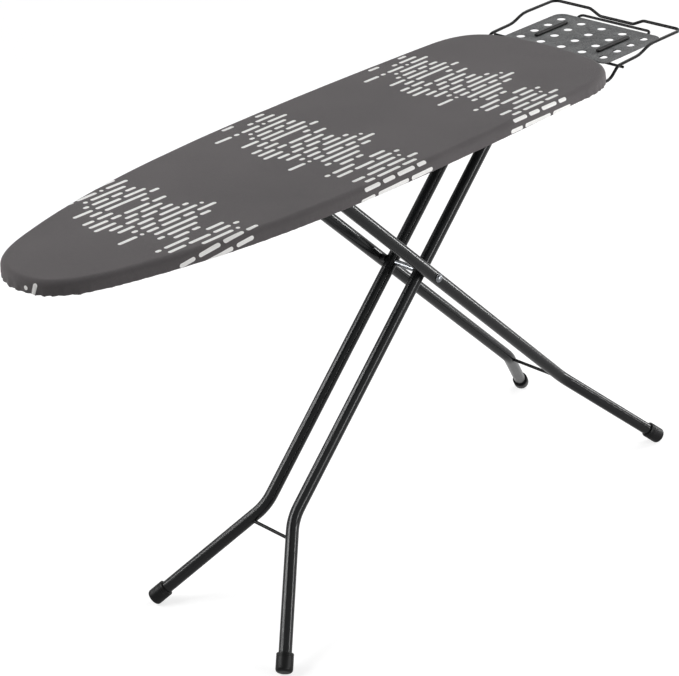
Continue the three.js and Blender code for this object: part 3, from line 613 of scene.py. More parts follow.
def placed(piece, node, angle=32):
    """Names the finished piece of a node, smooths it, paints it and puts it on its body."""
    only(piece)
    bpy.ops.object.shade_smooth_by_angle(angle=math.radians(angle))
    piece.name = piece.data.name = node + "_piece"
    piece.data.materials.clear()
    piece.data.materials.append(LOOKS[SLOT_OF[node]])
    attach(piece, BODY_OF[node])
    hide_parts(node)


def block(middle, size):
    """A plain box."""
    fresh()
    bpy.ops.mesh.primitive_cube_add(size=1, location=middle)
    piece = bpy.context.object
    piece.scale = size
    return settled(piece)


def ring_at(place, axis, radius, sides):
    """A circle of edges round an axis, left in edit mode and selected."""
    fresh()
    turn = UPWARDS.rotation_difference(axis).to_euler()
    bpy.ops.mesh.primitive_circle_add(
        vertices=sides, radius=radius, fill_type="NOTHING", location=place, rotation=turn
    )
    piece = bpy.context.object
    select_by("VERT")
    bpy.ops.object.mode_set(mode="EDIT")
    take_all()
    return piece


def pulled(by):
    """Extrudes what is selected."""
    bpy.ops.mesh.extrude_region_move(TRANSFORM_OT_translate={"value": tuple(by)})


def turned(profile, origin, axis, sides=32, hollow=False):
    """A piece turned round an axis. The profile is [radius, distance along the axis] in metres.
    A hollow one's profile ends where it starts."""
    origin = Vector(origin)
    radius, height = profile[0]
    piece = ring_at(origin + axis * height, axis, radius, sides)
    for next_radius, next_height in profile[1:]:
        pulled(axis * (next_height - height))
        if abs(next_radius - radius) > 1e-9:
            bpy.ops.transform.resize(
                value=(next_radius / radius,) * 3,
                center_override=tuple(origin + axis * next_height),
            )
        radius, height = next_radius, next_height
    take_all()
    if hollow:
        bpy.ops.mesh.remove_doubles(threshold=MERGED)
    else:
        bpy.ops.mesh.fill_holes(sides=0)
    return tidied(settled(piece))


def both_ends(end, length):
    """A turned profile of some length with the same shape at both its ends."""
    return end + [[radius, length - at] for radius, at in reversed(end)]


def bent_bar(corners, radius, bend, sides=20, arc=9, stops=(), closed=True):
    """A round bar through corners, which are x, y, z and, where it isn't bend, a bend radius.
    arc is the angle between the rings of a bend in degrees. stops are points on the straight
    runs where the bar gets an extra ring."""
    points = [Vector(corner[:3]) for corner in corners]
    bends = [corner[3] if len(corner) > 3 else bend for corner in corners]
    runs = [(b - a).normalized() for a, b in zip(points, points[1:])]
    piece = ring_at(points[0], runs[0], radius, sides)
    here = points[0]
    for i, run in enumerate(runs):
        last = i + 1 == len(runs)
        after = run if last else runs[i + 1]
        turn = 0 if last else run.angle(after)
        set_back = bends[i + 1] * math.tan(turn / 2)
        bend_start = points[i + 1] - run * set_back
        whole = (bend_start - here).dot(run)
        marks = sorted(
            (stop - here).dot(run) for stop in stops if (stop - here).cross(run).length < 1e-6
        )
        done = 0
        for mark in [m for m in marks if 1e-5 < m < whole - 1e-5] + [whole]:
            pulled(run * (mark - done))
            done = mark
        if not last:
            side = (after - run * run.dot(after)).normalized()
            bpy.ops.mesh.spin(
                steps=max(2, round(math.degrees(turn) / arc)), angle=-turn,
                center=tuple(bend_start + side * bends[i + 1]), axis=tuple(run.cross(side)),
            )
            here = points[i + 1] + after * set_back
    if closed:
        take_all()
        bpy.ops.mesh.remove_doubles(threshold=MERGED)
        take_all()
        bpy.ops.mesh.fill_holes(sides=0)
    return tidied(settled(piece))


def mirrored(side):
    """A path's corners on the +Y side, and then back along the -Y side."""
    return side + [(x, -y, *rest) for x, y, *rest in reversed(side)]


def copied(node):
    """A merged copy of a CAD node's mesh, with the triangles of each flat face joined."""
    piece = bpy.data.objects.new(node + "_copy", frame["nodes"][node].data.copy())
    bpy.context.scene.collection.objects.link(piece)
    piece.data.materials.clear()
    editing(piece)
    bpy.ops.mesh.remove_doubles(threshold=1e-5)
    bpy.ops.mesh.dissolve_limited(angle_limit=math.radians(0.5))
    return settled(piece)


def mesh_piece(name, points, faces):
    mesh = bpy.data.meshes.new(name)
    mesh.from_pydata([tuple(p) for p in points], [], faces)
    mesh.validate()
    piece = bpy.data.objects.new(name, mesh)
    bpy.context.scene.collection.objects.link(piece)
    return piece


# ---- Outline of the board ----

# Curves of the half outline, nose to tail. A point is the distance from the tip of the nose, or
# of the tail for the second list, in millimetres, and the share of the half width.
NOSE_CURVES = (
    ((0, 0), (0, 0.35), (50, 0.5), (112, 0.602)),
    ((112, 0.602), (262, 0.864), (432, 1), (752, 1)),
)
TAIL_CURVES = (
    ((462, 1), (342, 1), (232, 0.99), (132, 0.968)),
    ((132, 0.968), (50, 0.963), (13, 0.775), (5, 0.377)),
    ((5, 0.377), (2, 0.25), (0, 0.126), (0, 0)),
)
CURVE_STEPS = 200


def bezier(points, share):
    a, b, c, d = points
    rest = 1 - share
    return a * rest**3 + b * (3 * rest**2 * share) + c * (3 * rest * share**2) + d * share**3


def half_outline():
    """The half outline on the +Y side, nose to tail, in short steps."""
    curves = [
        [Vector((start + way * x * MM, y * HALF_WIDTH, 0)) for x, y in curve]
        for start, way, group in ((NOSE_X, 1, NOSE_CURVES), (TAIL_X, -1, TAIL_CURVES))
        for curve in group
    ]
    points = [bezier(curve, i / CURVE_STEPS) for curve in curves for i in range(CURVE_STEPS)]
    return points + [Vector((TAIL_X, 0, 0))]


class Rim:
    """The outline as evenly spaced points with outward normals: from the tip of the nose along
    the -Y side to the middle of the tail, and back along the +Y side."""

    def __init__(self, count):
        fine = half_outline()
        lengths = [0.0]
        for a, b in zip(fine, fine[1:]):
            lengths.append(lengths[-1] + (b - a).length)
        half = count // 2
        side, at = [], 0
        for i in range(half + 1):
            want = lengths[-1] * i / half
            while at < len(fine) - 2 and lengths[at + 1] < want:
                at += 1
            share = (want - lengths[at]) / (lengths[at + 1] - lengths[at])
            side.append(fine[at].lerp(fine[at + 1], min(share, 1)))
        near = [Vector((p.x, -p.y, 0)) for p in side]
        self.points = near + side[-2:0:-1]
        self.count = len(self.points)
        self.step = 2 * lengths[-1] / self.count
        self.normals = []
        for before, after in self.beside(self.points):
            tangent = (after - before).normalized()
            self.normals.append(Vector((tangent.y, -tangent.x, 0)))
        self.bends = [
            before.angle(after) / (2 * self.step) for before, after in self.beside(self.normals)
        ]

    def beside(self, items):
        """For each point of the rim, the items of the points before and after it."""
        return [(items[i - 1], items[(i + 1) % self.count]) for i in range(self.count)]

    def ring(self, inset, z):
        return [p - n * inset + Vector((0, 0, z)) for p, n in zip(self.points, self.normals)]

    def holds(self, point, inset):
        """Whether a point is within the outline moved in by inset."""
        ring = self.ring(inset, 0)
        inside = False
        for a, b in zip(ring, ring[1:] + ring[:1]):
            if (a.y > point.y) != (b.y > point.y):
                if point.x < a.x + (point.y - a.y) / (b.y - a.y) * (b.x - a.x):
                    inside = not inside
        return inside


def field(rim, inset, spacing):
    """Triangles over the area inside a ring of the rim. Returns the points inside it, and faces
    whose numbers under rim.count are the ring's own."""
    ring = [Vector((p.x, p.y)) for p in rim.ring(inset, 0)]
    inner = []
    row = 0
    y = -HALF_WIDTH
    while y < HALF_WIDTH:
        x = NOSE_X + (spacing / 2 if row % 2 else 0)
        while x < TAIL_X:
            if rim.holds(Vector((x, y, 0)), inset + spacing * 0.6):
                inner.append(Vector((x, y)))
            x += spacing
        y += spacing * math.sqrt(3) / 2
        row += 1
    made = delaunay_2d_cdt(ring + inner, [], [list(range(rim.count))], 1, 1e-7)
    first = [sources[0] for sources in made[3]]
    faces = [[first[i] for i in face] for face in made[2]]
    return [Vector((p.x, p.y, 0)) for p in inner], faces


def numbered(face, rim, ring, inner):
    """A face of a field whose ring starts at point ring, and whose inner points start at inner."""
    return [ring + i if i < rim.count else inner + i - rim.count for i in face]


def strips(count, rings, closed=False):
    """Faces between rings of count points each. Ring k starts at point k * count."""
    pairs = list(zip(range(rings), range(1, rings))) + ([(rings - 1, 0)] if closed else [])
    return [
        [a * count + i, b * count + i, b * count + (i + 1) % count, a * count + (i + 1) % count]
        for a, b in pairs for i in range(count)
    ]


def edge_band(name, rim, section):
    """A band that follows the rim. The section is [inset, z] in metres."""
    points = [p for inset, z in section for p in rim.ring(inset, z)]
    return tidied(mesh_piece(name, points, strips(rim.count, len(section), closed=True)))


def quarter(steps):
    """The angles of a quarter turn, in even steps."""
    return [k / steps * math.pi / 2 for k in range(steps + 1)]


def over_edge(inset, z, radius, steps=4):
    """The quarter round of a section from its flat top, at height z, to its upright side."""
    return [
        [inset + radius * (1 - math.sin(a)), z - radius * (1 - math.cos(a))]
        for a in quarter(steps)
    ]


def under_edge(inset, z, radius, steps=4):
    """The quarter round of a section from its upright side to its flat underside, at height z."""
    return [
        [inset + radius * (1 - math.cos(a)), z + radius * (1 - math.sin(a))]
        for a in quarter(steps)
    ]


def held(value, low=0, high=1):
    """The value, but no less than low and no more than high."""
    return min(max(value, low), high)


def swell(x, y, z):
    """Smooth noise, from about -1 to 1."""
    return noise.noise(Vector((x, y, z)))


# ---- Cover ----

CLOTH = 1.2 * MM
EDGE_RADIUS = 10 * MM
HEM_RADIUS = 2.5 * MM
HEM_WIDTH = 30 * MM
FLAT_MARGIN = 60 * MM  # the cloth map starts this far outside the board
FLAT_LOW_X, FLAT_LOW_Y = NOSE_X - FLAT_MARGIN, -HALF_WIDTH - FLAT_MARGIN
FLAT_SCALE = TAIL_X - NOSE_X + 2 * FLAT_MARGIN
HEM_RUN_SCALE = 3.2  # the hem map's width, in metres
SIDE_START = EDGE_RADIUS * math.pi / 2
SIDE_LENGTH = TOP - COVER_LOW.z - EDGE_RADIUS - HEM_RADIUS
UNDER_START = SIDE_START + SIDE_LENGTH + HEM_RADIUS * math.pi / 2
STITCH_AT = UNDER_START + 19.5 * MM
STITCH_PITCH = 3.2 * MM
GROOVE_WIDTH, GROOVE_DEPTH = 1.6 * MM, 0.45 * MM
HEM_END = UNDER_START + HEM_WIDTH - HEM_RADIUS
GATHER_LENGTHS = (12, 34)  # the shortest and the longest gather, in millimetres
GATHER_POINTS = 13  # the gathers' length changes every so many points of the rim
NEARBY = 9  # how many points to either side count for how much the outline bends
GATHER_OUT = 3.2 * MM  # how far the fullest gather stands out at the foot of the side
GATHER_SAG, HEM_SAG = 1.5 * MM, 2.2 * MM  # how far it sags there, and further in the hem
# Soft waves on top: how many in a metre of x and of y, where in the noise, and how high in mm.
WAVES = ((9, 13, 0, 0.5), (30, 34, 3, 0.12))
TOP_FACE = 3 * MM  # the waves take in what lies less than this below the top
WAVES_DOWN = 0.3  # how far the waves lower the top on average, in mm


def cover_section():
    """[inset, z, distance over the cloth from where the edge starts to round]."""
    rows = [[inset * MM, TOP, EDGE_RADIUS - inset * MM] for inset in (34, 27, 21, 16, 12.5)]
    for at, a in zip(over_edge(0, TOP, EDGE_RADIUS, 7), quarter(7)):
        rows.append([*at, EDGE_RADIUS * a])
    for share in (0.25, 0.5, 0.75):
        down = SIDE_LENGTH * share
        rows.append([0, TOP - EDGE_RADIUS - down, SIDE_START + down])
    for at, a in zip(under_edge(0, COVER_LOW.z, HEM_RADIUS, 3), quarter(3)):
        rows.append([*at, SIDE_START + SIDE_LENGTH + HEM_RADIUS * a])
    for k in range(1, 12):
        run = (HEM_WIDTH - HEM_RADIUS) * k / 11
        rows.append([HEM_RADIUS + run, COVER_LOW.z, UNDER_START + run])
    return rows


def pucker_run(rim):
    """For each point of the rim, how much of a gather is there, from 0 to about 1, and how far
    up the side it reaches. Gathers are full where the outline bends, and slight on the straight
    sides."""
    dice = random.Random(4)
    phase, run = [], 0.0
    for i in range(rim.count):
        if i % GATHER_POINTS == 0:
            wave = dice.uniform(*GATHER_LENGTHS) * MM
        phase.append(run)
        run += TURN * rim.step / wave
    whole = round(run / TURN) * TURN / run
    rows = []
    for i, p in enumerate(rim.points):
        a = phase[i] * whole
        fullness = 0.5 + math.sin(a) * 0.38 + math.sin(2.7 * a + 1.3) * 0.12
        size = held(0.7 + swell(p.x * 31, p.y * 31, 5) * 0.95, 0.15, 1.15)
        near = [rim.bends[(i + k) % rim.count] for k in range(-NEARBY, NEARBY + 1)]
        strength = min(1.0, 0.12 + sum(near) / len(near) * 0.11)
        reach = held(0.74 + swell(p.x * 44, p.y * 44, 9) * 0.6, 0.2)
        rows.append((fullness * size * strength, reach))
    return rows


def gathered(rim, section):
    """The cover's edge, side and hem, with their gathers and the groove of the stitches."""
    puckers = pucker_run(rim)
    points = []
    for inset, z, out in section:
        under = held((out - UNDER_START) / (HEM_END - UNDER_START))
        groove = math.exp(-(((out - STITCH_AT) / GROOVE_WIDTH) ** 2))
        for p, normal, (fold, reach) in zip(rim.ring(inset, z), rim.normals, puckers):
            top = UNDER_START - reach * (UNDER_START - SIDE_START * 0.5)
            down = held((out - top) / (UNDER_START - top)) ** 0.95
            p += normal * (fold * GATHER_OUT * down * (1 - under))
            p.z += GROOVE_DEPTH * groove - fold * (GATHER_SAG * down + HEM_SAG * under**0.7)
            points.append(p)
    return points


def map_cloth(piece, rim, section, flat):
    """Maps the flat cloth and, on the edge, side and hem, the run along and across the hem."""
    flat_map = piece.data.uv_layers.new(name="flat_cloth")
    run_map = piece.data.uv_layers.new(name="hem_run")
    for face in piece.data.polygons:
        columns = [n % rim.count for n in face.vertices]
        banded = max(face.vertices) < len(section) * rim.count
        wraps = max(columns) - min(columns) > rim.count / 2
        for loop, n, column in zip(face.loop_indices, face.vertices, columns):
            flat_map.data[loop].uv = (
                (flat[n].x - FLAT_LOW_X) / FLAT_SCALE, (flat[n].y - FLAT_LOW_Y) / FLAT_SCALE,
            )
            if banded:
                if wraps and column < rim.count / 2:
                    column += rim.count
                out = max(section[n // rim.count][2], 0)
                run_map.data[loop].uv = (column * rim.step / HEM_RUN_SCALE, out / HEM_RUN_SCALE)


def cover():
    rim = Rim(960)
    section = cover_section()
    inner, field_faces = field(rim, section[0][0], 11 * MM)
    points = gathered(rim, section) + [p + UPWARDS * TOP for p in inner]
    flat = [
        p + n * (out - EDGE_RADIUS) for _, _, out in section
        for p, n in zip(rim.points, rim.normals)
    ] + inner
    for p in points:
        if p.z > TOP - TOP_FACE:
            wave = sum(swell(p.x * x, p.y * y, seed) * size for x, y, seed, size in WAVES)
            p.z += (wave - WAVES_DOWN) * MM
    base = len(section) * rim.count
    faces = strips(rim.count, len(section))
    faces += [numbered(face, rim, 0, base) for face in field_faces]
    piece = mesh_piece("cover", points, faces)
    map_cloth(piece, rim, section, flat)
    editing(piece)
    bpy.ops.mesh.normals_make_consistent(inside=False)
    fresh()
    top_face = piece.data.polygons[-1]
    if top_face.normal.z < 0:  # the cloth's thickness has to go downwards from its top
        editing(piece)
        bpy.ops.mesh.flip_normals()
    thickened(piece, CLOTH)
    placed(piece, "cover", angle=50)


# ---- Pad, tray, cord and lock ----

FELT_INSET, FELT_EDGE, FELT_ROUGH = 9 * MM, 1.6 * MM, 0.2 * MM


def felt_pad():
    rim = Rim(420)
    low, high, _ = room("felt_pad")
    section = over_edge(FELT_INSET, high.z, FELT_EDGE)
    section += under_edge(FELT_INSET, low.z, FELT_EDGE)
    points = [p for row_inset, z in section for p in rim.ring(row_inset, z)]
    inner, faces = field(rim, FELT_INSET + FELT_EDGE, 16 * MM)
    last, base = len(points) - rim.count, len(points)
    points += [p + UPWARDS * z for z in (high.z, low.z) for p in inner]
    for p in points:
        p.z += swell(p.x * 22, p.y * 22, p.z * 40) * FELT_ROUGH
    every = strips(rim.count, len(section))
    for face in faces:
        every.append(numbered(face, rim, 0, base))
        every.append(numbered(face[::-1], rim, last, base + len(inner)))
    piece = tidied(mesh_piece("felt", points, every))
    placed(piece, "felt_pad", angle=60)


TRAY_INSET = 2.2 * MM
TRAY_BEND = 2.2 * MM
SHEET = 1.2 * MM
BORDER = 30 * MM
DIAMOND = (30 * MM, 13 * MM)  # long and wide, from middle to middle
DIAMOND_ROWS = 46
STRAND = (1.35 * MM, 0.9 * MM)  # half the width of a strand of the mesh, and its thickness


def tray():
    """The steel tray: a turned-down rim, a plain border and a field of expanded diamonds."""
    rim = Rim(480)
    low, high, _ = room("mesh_top")
    inner_inset, inner_z = TRAY_INSET + SHEET, high.z - SHEET
    outer = [[BORDER, high.z], *over_edge(TRAY_INSET, high.z, TRAY_BEND), [TRAY_INSET, low.z]]
    inner = [
        [BORDER, inner_z], *over_edge(inner_inset, inner_z, TRAY_BEND - SHEET),
        [inner_inset, low.z],
    ]
    border = edge_band("border", rim, outer + inner[::-1])
    placed(as_one([border, diamonds(rim, high.z - SHEET / 2)]), "mesh_top", angle=30)


def diamonds(rim, middle_z):
    """The strands of the expanded mesh, out to just under the border."""
    long, wide = DIAMOND
    strand_side, strand_height = STRAND
    fresh()
    bpy.ops.mesh.primitive_grid_add(
        x_subdivisions=DIAMOND_ROWS, y_subdivisions=DIAMOND_ROWS, size=1
    )
    lattice = bpy.context.object
    editing(lattice)
    bpy.ops.transform.rotate(value=math.pi / 4, orient_axis="Z", center_override=(0, 0, 0))
    fresh()
    cell = math.sqrt(2) / DIAMOND_ROWS
    middle_x = (NOSE_X + TAIL_X) / 2
    for v in lattice.data.vertices:
        v.co = Vector((v.co.x / cell * long + middle_x, v.co.y / cell * wide, 0))
    picking(lattice, "FACE", lambda face: not rim.holds(face.center, BORDER - 8 * MM))
    bpy.ops.mesh.delete(type="FACE")
    take_all()
    bpy.ops.mesh.inset(thickness=strand_side, use_individual=True)
    bpy.ops.mesh.delete(type="FACE")
    take_all()
    pulled((0, 0, strand_height))
    take_all()
    bpy.ops.transform.translate(value=(0, 0, middle_z - strand_height / 2))
    bpy.ops.mesh.normals_make_consistent(inside=False)
    return settled(lattice)


def hem_cord():
    rim = Rim(480)
    low, high, middle = room("hem_cord")
    radius = (high.z - low.z) / 2
    inset = HEM_WIDTH - 2 * radius
    section = [
        [inset + radius * math.cos(a), middle.z + radius * math.sin(a)]
        for a in (TURN * k / 8 for k in range(8))
    ]
    placed(edge_band("cord", rim, section), "hem_cord", angle=60)


def cord_lock():
    low, high, middle = room("cord_lock")
    piece = block(middle, high - low)
    editing(piece)
    bpy.ops.mesh.bevel(offset=1.6 * MM, segments=4, affect="EDGES")
    picking(piece, "FACE", lambda face: face.normal.x < -0.9)
    bpy.ops.mesh.inset(thickness=0.8 * MM)
    pulled((0.9 * MM, 0, 0))
    picking(piece, "FACE", lambda face: face.normal.z < -0.9 and face.area > 40 * MM * MM)
    bpy.ops.mesh.inset(thickness=1.8 * MM)
    pulled((0, 0, 0.7 * MM))
    placed(tidied(piece), "cord_lock", angle=40)


# ---- Under the tray ----

BROKEN_EDGES = {  # how much the edges of the sheet-metal pieces are broken, in millimetres
    "front_brace": 0.5, "middle_brace": 0.5, "rear_brace": 0.5, "slide_channel": 0.25,
    "hinge_bracket_left": 0.35, "hinge_bracket_right": 0.35, "lever_bracket_front": 0.25,
    "lever_bracket_rear": 0.25, "keeper_plate": 0.35,
}


def pressed(node, width):
    """A sheet-metal piece with its edges broken."""
    placed(tidied(softened(copied(node), width), MERGED_FINE), node)


# ---- Pins, sleeves and caps ----

PIN_BORE, SLIDER_BORE = 4.3 * MM, 5.3 * MM  # round the hinge pin and axle, and the slider bar


def pin(node, chamfer, bore=0, sides=32):
    """A straight pin from side to side, or a sleeve or washer where it has a bore."""
    low, high, middle = room(node)
    radius = (high.z - low.z) / 2
    end = [[bore, 0]] if bore else []
    end += [[radius - chamfer, 0], [radius, chamfer]]
    profile = both_ends(end, high.y - low.y)
    if bore:
        profile.append([bore, 0])
    start = (middle.x, low.y, middle.z)
    placed(turned(profile, start, ACROSS, sides, hollow=bool(bore)), node)


def dome_cap(node, side):
    """A push-on cap: a thin brim, then a dome."""
    low, high, middle = room(node)
    radius, height, wall = (high.z - low.z) / 2, high.y - low.y, 1.3 * MM
    crown, brim, lip = radius * 0.76, 0.9 * MM, 0.3 * MM
    foot = brim + lip
    profile = [
        [PIN_BORE, height - wall], [PIN_BORE, 0], [radius - lip, 0], [radius, lip],
        [radius, brim], [radius - lip, brim + 0.2 * MM], [crown + lip, brim], [crown, foot],
    ]
    for k in range(1, 9):
        share = k / 8.2
        profile.append([crown * math.sqrt(1 - share**2), foot + (height - foot) * share])
    face_y = low.y if side > 0 else high.y
    placed(turned(profile, (middle.x, face_y, middle.z), ACROSS * side), node, angle=40)


def pins():
    for node in ("hinge_pin", "pivot_axle", "slider_bar"):
        pin(node, 0.6 * MM)
    for node in ("hinge_sleeve", "axle_sleeve"):
        pin(node, 0.4 * MM, PIN_BORE)
    for word, side in LEFT_RIGHT:
        pin(f"pivot_washer_{word}", 0.6 * MM, PIN_BORE)
        pin(f"glide_{word}", 0.8 * MM, SLIDER_BORE)
        dome_cap(f"hinge_cap_{word}", side)
        dome_cap(f"axle_cap_{word}", side)


# ---- Leg frames ----

LEG_ANGLE = math.atan2(HINGE.z - PIVOT.z, HINGE.x - PIVOT.x)
LOWER_REACH = PIVOT.z / math.sin(LEG_ANGLE)
PIN_REACH = LOWER_REACH + (HINGE - PIVOT).length
TUBE_REACH = PIN_REACH + 12 * MM
TUBE_RADIUS = 11.35 * MM
TUBE_WALL = 1.3 * MM
TUBE_BEND = 85 * MM
BORE_RINGS = 9 * MM  # the tubes get a ring this far to either side of each bore
CAP_RADIUS, CAP_LENGTH, CAP_FLOOR, CAP_EDGE = 15 * MM, 33 * MM, 4 * MM, 6 * MM
CAP_SUNK = 1.5 * MM  # how much of the round end is cut off flat on the floor
GAP = 0.3 * MM


class Legs:
    """One leg frame: which way it leans, half the spacing of its tubes above, half that of its
    feet, how far up its tubes bend and its tie wire sits, and the bore for its upper pin."""

    def __init__(self, word, lean, half_spacing, foot_spread, bend_reach, tie_reach, top_bore):
        self.word, self.lean, self.top_bore = word, lean, top_bore
        self.half_spacing, self.foot_spread = half_spacing * MM, foot_spread * MM
        self.bend_reach, self.tie_reach = bend_reach * MM, tie_reach * MM

    def at(self, reach, y):
        """The point at a reach from the floor, measured up the frame."""
        return Vector((
            PIVOT.x + self.lean * (reach - LOWER_REACH) * math.cos(LEG_ANGLE), y,
            reach * math.sin(LEG_ANGLE),
        ))

    def foot(self, side):
        """Where a foot cap ends, and the way its tube runs down to it."""
        floor = self.at(0, side * self.foot_spread)
        down = (floor - self.at(self.bend_reach, side * self.half_spacing)).normalized()
        tilt = math.sqrt(1 - down.z**2)
        lowest = (CAP_RADIUS - CAP_EDGE) * tilt + CAP_EDGE * (1 + down.z)
        return floor + down * ((lowest - CAP_SUNK) / down.z), down

    def tube(self, name, side):
        end, down = self.foot(side)
        y = side * self.half_spacing
        bores = ((LOWER_REACH, PIN_BORE), (PIN_REACH, self.top_bore))
        corners = [
            end - down * (CAP_FLOOR + GAP), self.at(self.bend_reach, y), self.at(TUBE_REACH, y)
        ]
        beside = (-BORE_RINGS, BORE_RINGS)
        stops = [self.at(reach + off, y) for reach, _ in bores for off in beside]
        piece = bent_bar(
            corners, TUBE_RADIUS, TUBE_BEND, sides=32, arc=4, stops=stops, closed=False
        )
        thickened(piece, TUBE_WALL)
        span = TUBE_RADIUS + 2 * MM
        cut(piece, *[
            turned([[radius, -span], [radius, span]], self.at(reach, y), ACROSS, sides=24)
            for reach, radius in bores
        ])
        placed(tidied(piece, MERGED_FINE), name, angle=35)

    def end_plug(self, name, side):
        """The domed plug in the upper end of a tube."""
        top = self.at(TUBE_REACH + GAP + 2 * MM, side * self.half_spacing)
        down = -(self.at(1, 0) - self.at(0, 0)).normalized()
        stem = TUBE_RADIUS - TUBE_WALL - GAP
        profile = [
            [TUBE_RADIUS - 2.6 * MM, 0], [TUBE_RADIUS - 1.4 * MM, 0.15 * MM],
            [TUBE_RADIUS - 0.5 * MM, 0.6 * MM], [TUBE_RADIUS, 1.3 * MM], [TUBE_RADIUS, 2 * MM],
            [stem, 2 * MM], [stem, 7 * MM], [stem - 1 * MM, 8 * MM],
        ]
        placed(turned(profile, top, down), name)

    def foot_cap(self, name, side):
        """A rubber cap with a round end and two grooves, cut flat at the floor."""
        end, down = self.foot(side)
        bore, groove = TUBE_RADIUS + GAP, CAP_RADIUS - 0.45 * MM
        profile = [
            [CAP_RADIUS - CAP_EDGE * (1 - math.sin(a)), CAP_EDGE * (1 - math.cos(a))]
            for a in quarter(6)
        ]
        for at in (CAP_LENGTH - 8 * MM, CAP_LENGTH - 5 * MM):
            profile += [
                [CAP_RADIUS, at], [groove, at + 0.5 * MM], [groove, at + 1.1 * MM],
                [CAP_RADIUS, at + 1.6 * MM],
            ]
        profile += [
            [CAP_RADIUS, CAP_LENGTH - 0.9 * MM], [CAP_RADIUS - 0.4 * MM, CAP_LENGTH - 0.2 * MM],
            [CAP_RADIUS - 1 * MM, CAP_LENGTH], [bore, CAP_LENGTH], [bore, CAP_FLOOR],
        ]
        piece = turned(profile, end, -down, sides=40)
        editing(piece)
        bpy.ops.mesh.bisect(
            plane_co=(0, 0, 0), plane_no=(0, 0, 1), use_fill=True, clear_inner=True
        )
        placed(tidied(piece), name, angle=35)

    def tie(self, name):
        """The wire between the two tubes, with a weld bead at each end."""
        splay = (self.foot_spread - self.half_spacing) / self.bend_reach
        half = self.half_spacing + splay * (self.bend_reach - self.tie_reach) - TUBE_RADIUS
        wire, bead = 3 * MM, 4.3 * MM
        reach = half + 1.2 * MM
        end = [[bead, 0], [bead, 1.4 * MM], [3.5 * MM, 2.2 * MM], [wire, 3.6 * MM]]
        start = self.at(self.tie_reach, -reach)
        placed(turned(both_ends(end, 2 * reach), start, ACROSS, sides=20), name, angle=50)

    def build(self):
        self.tie(f"{self.word}_tie_wire")
        for word, side in LEFT_RIGHT:
            self.tube(f"{self.word}_leg_{word}", side)
            self.end_plug(f"{self.word}_plug_{word}", side)
            self.foot_cap(f"{self.word}_foot_{word}", side)


# ---- Height lever ----

LEVER_RADIUS = 3 * MM


def height_lever():
    low, high, middle = room("lever_rod")
    y, arm = low.y + LEVER_RADIUS, low.x + LEVER_RADIUS
    corners = [(high.x, y, middle.z), (arm, y, middle.z), (arm, high.y, middle.z)]
    placed(bent_bar(corners, LEVER_RADIUS, 14 * MM), "lever_rod")
    lever_grip(arm, middle.z)
    lever_spring(y, middle.z)


def lever_grip(x, z):
    """A ribbed grip on the lever's arm, at x and z, from its outer end inwards."""
    low, high, _ = room("lever_grip")
    length, outer, bore = high.y - low.y, (high.x - low.x) / 2, LEVER_RADIUS + GAP
    ribs, plain, groove = 9, 8 * MM, outer - 0.7 * MM
    rib = (length - 2 * plain) / ribs
    profile = [[outer - 2.2 * MM, 0], [outer - 0.8 * MM, 0.5 * MM], [outer, 2 * MM]]
    for k in range(ribs):
        at = plain + k * rib
        profile += [
            [outer, at], [groove, at + rib * 0.2], [groove, at + rib * 0.5],
            [outer, at + rib * 0.7],
        ]
    profile += [
        [outer, length - 2 * MM], [outer - 1.4 * MM, length - 0.4 * MM], [bore, length],
        [bore, 3 * MM],
    ]
    placed(turned(profile, (x, high.y, z), -ACROSS), "lever_grip")


def lever_spring(y, z):
    """A coil round the lever rod's axis, at y and z, with both its ends drawn out upwards."""
    high = room("lever_spring")[1]
    wire, turns, pitch = 0.5 * MM, 4.5, 1.3 * MM
    fresh()
    bpy.ops.mesh.primitive_circle_add(
        vertices=10, radius=wire, location=(0, -(LEVER_RADIUS + GAP + wire), 0)
    )
    piece = settled(bpy.context.object)
    applied(
        piece, "SCREW", axis="X", angle=TURN * turns, steps=90, render_steps=90,
        screw_offset=-turns * pitch, iterations=1, use_merge_vertices=False,
    )
    editing(piece)
    bpy.ops.mesh.select_all(action="DESELECT")
    bpy.ops.mesh.select_mode(type="EDGE")
    bpy.ops.mesh.select_non_manifold()
    pulled((0, 0, 7 * MM))
    take_all()
    bpy.ops.mesh.fill_holes(sides=0)
    take_all()
    bpy.ops.transform.translate(value=(high.x - wire, y, z))
    placed(tidied(piece), "lever_spring", angle=60)


# ---- Iron rest ----

HOLE_RADIUS = 8.1 * MM
HOLE_ROWS, HOLE_COLUMNS = 4, 5
FIRST_ROW, LAST_ROW, SIDE_COLUMN = 26.5 * MM, 27.5 * MM, 25.8 * MM
TAIL_CORNER, BOARD_CORNER = 20 * MM, 12 * MM
PUNCH = [[HOLE_RADIUS, -4 * MM], [HOLE_RADIUS, 4 * MM]]


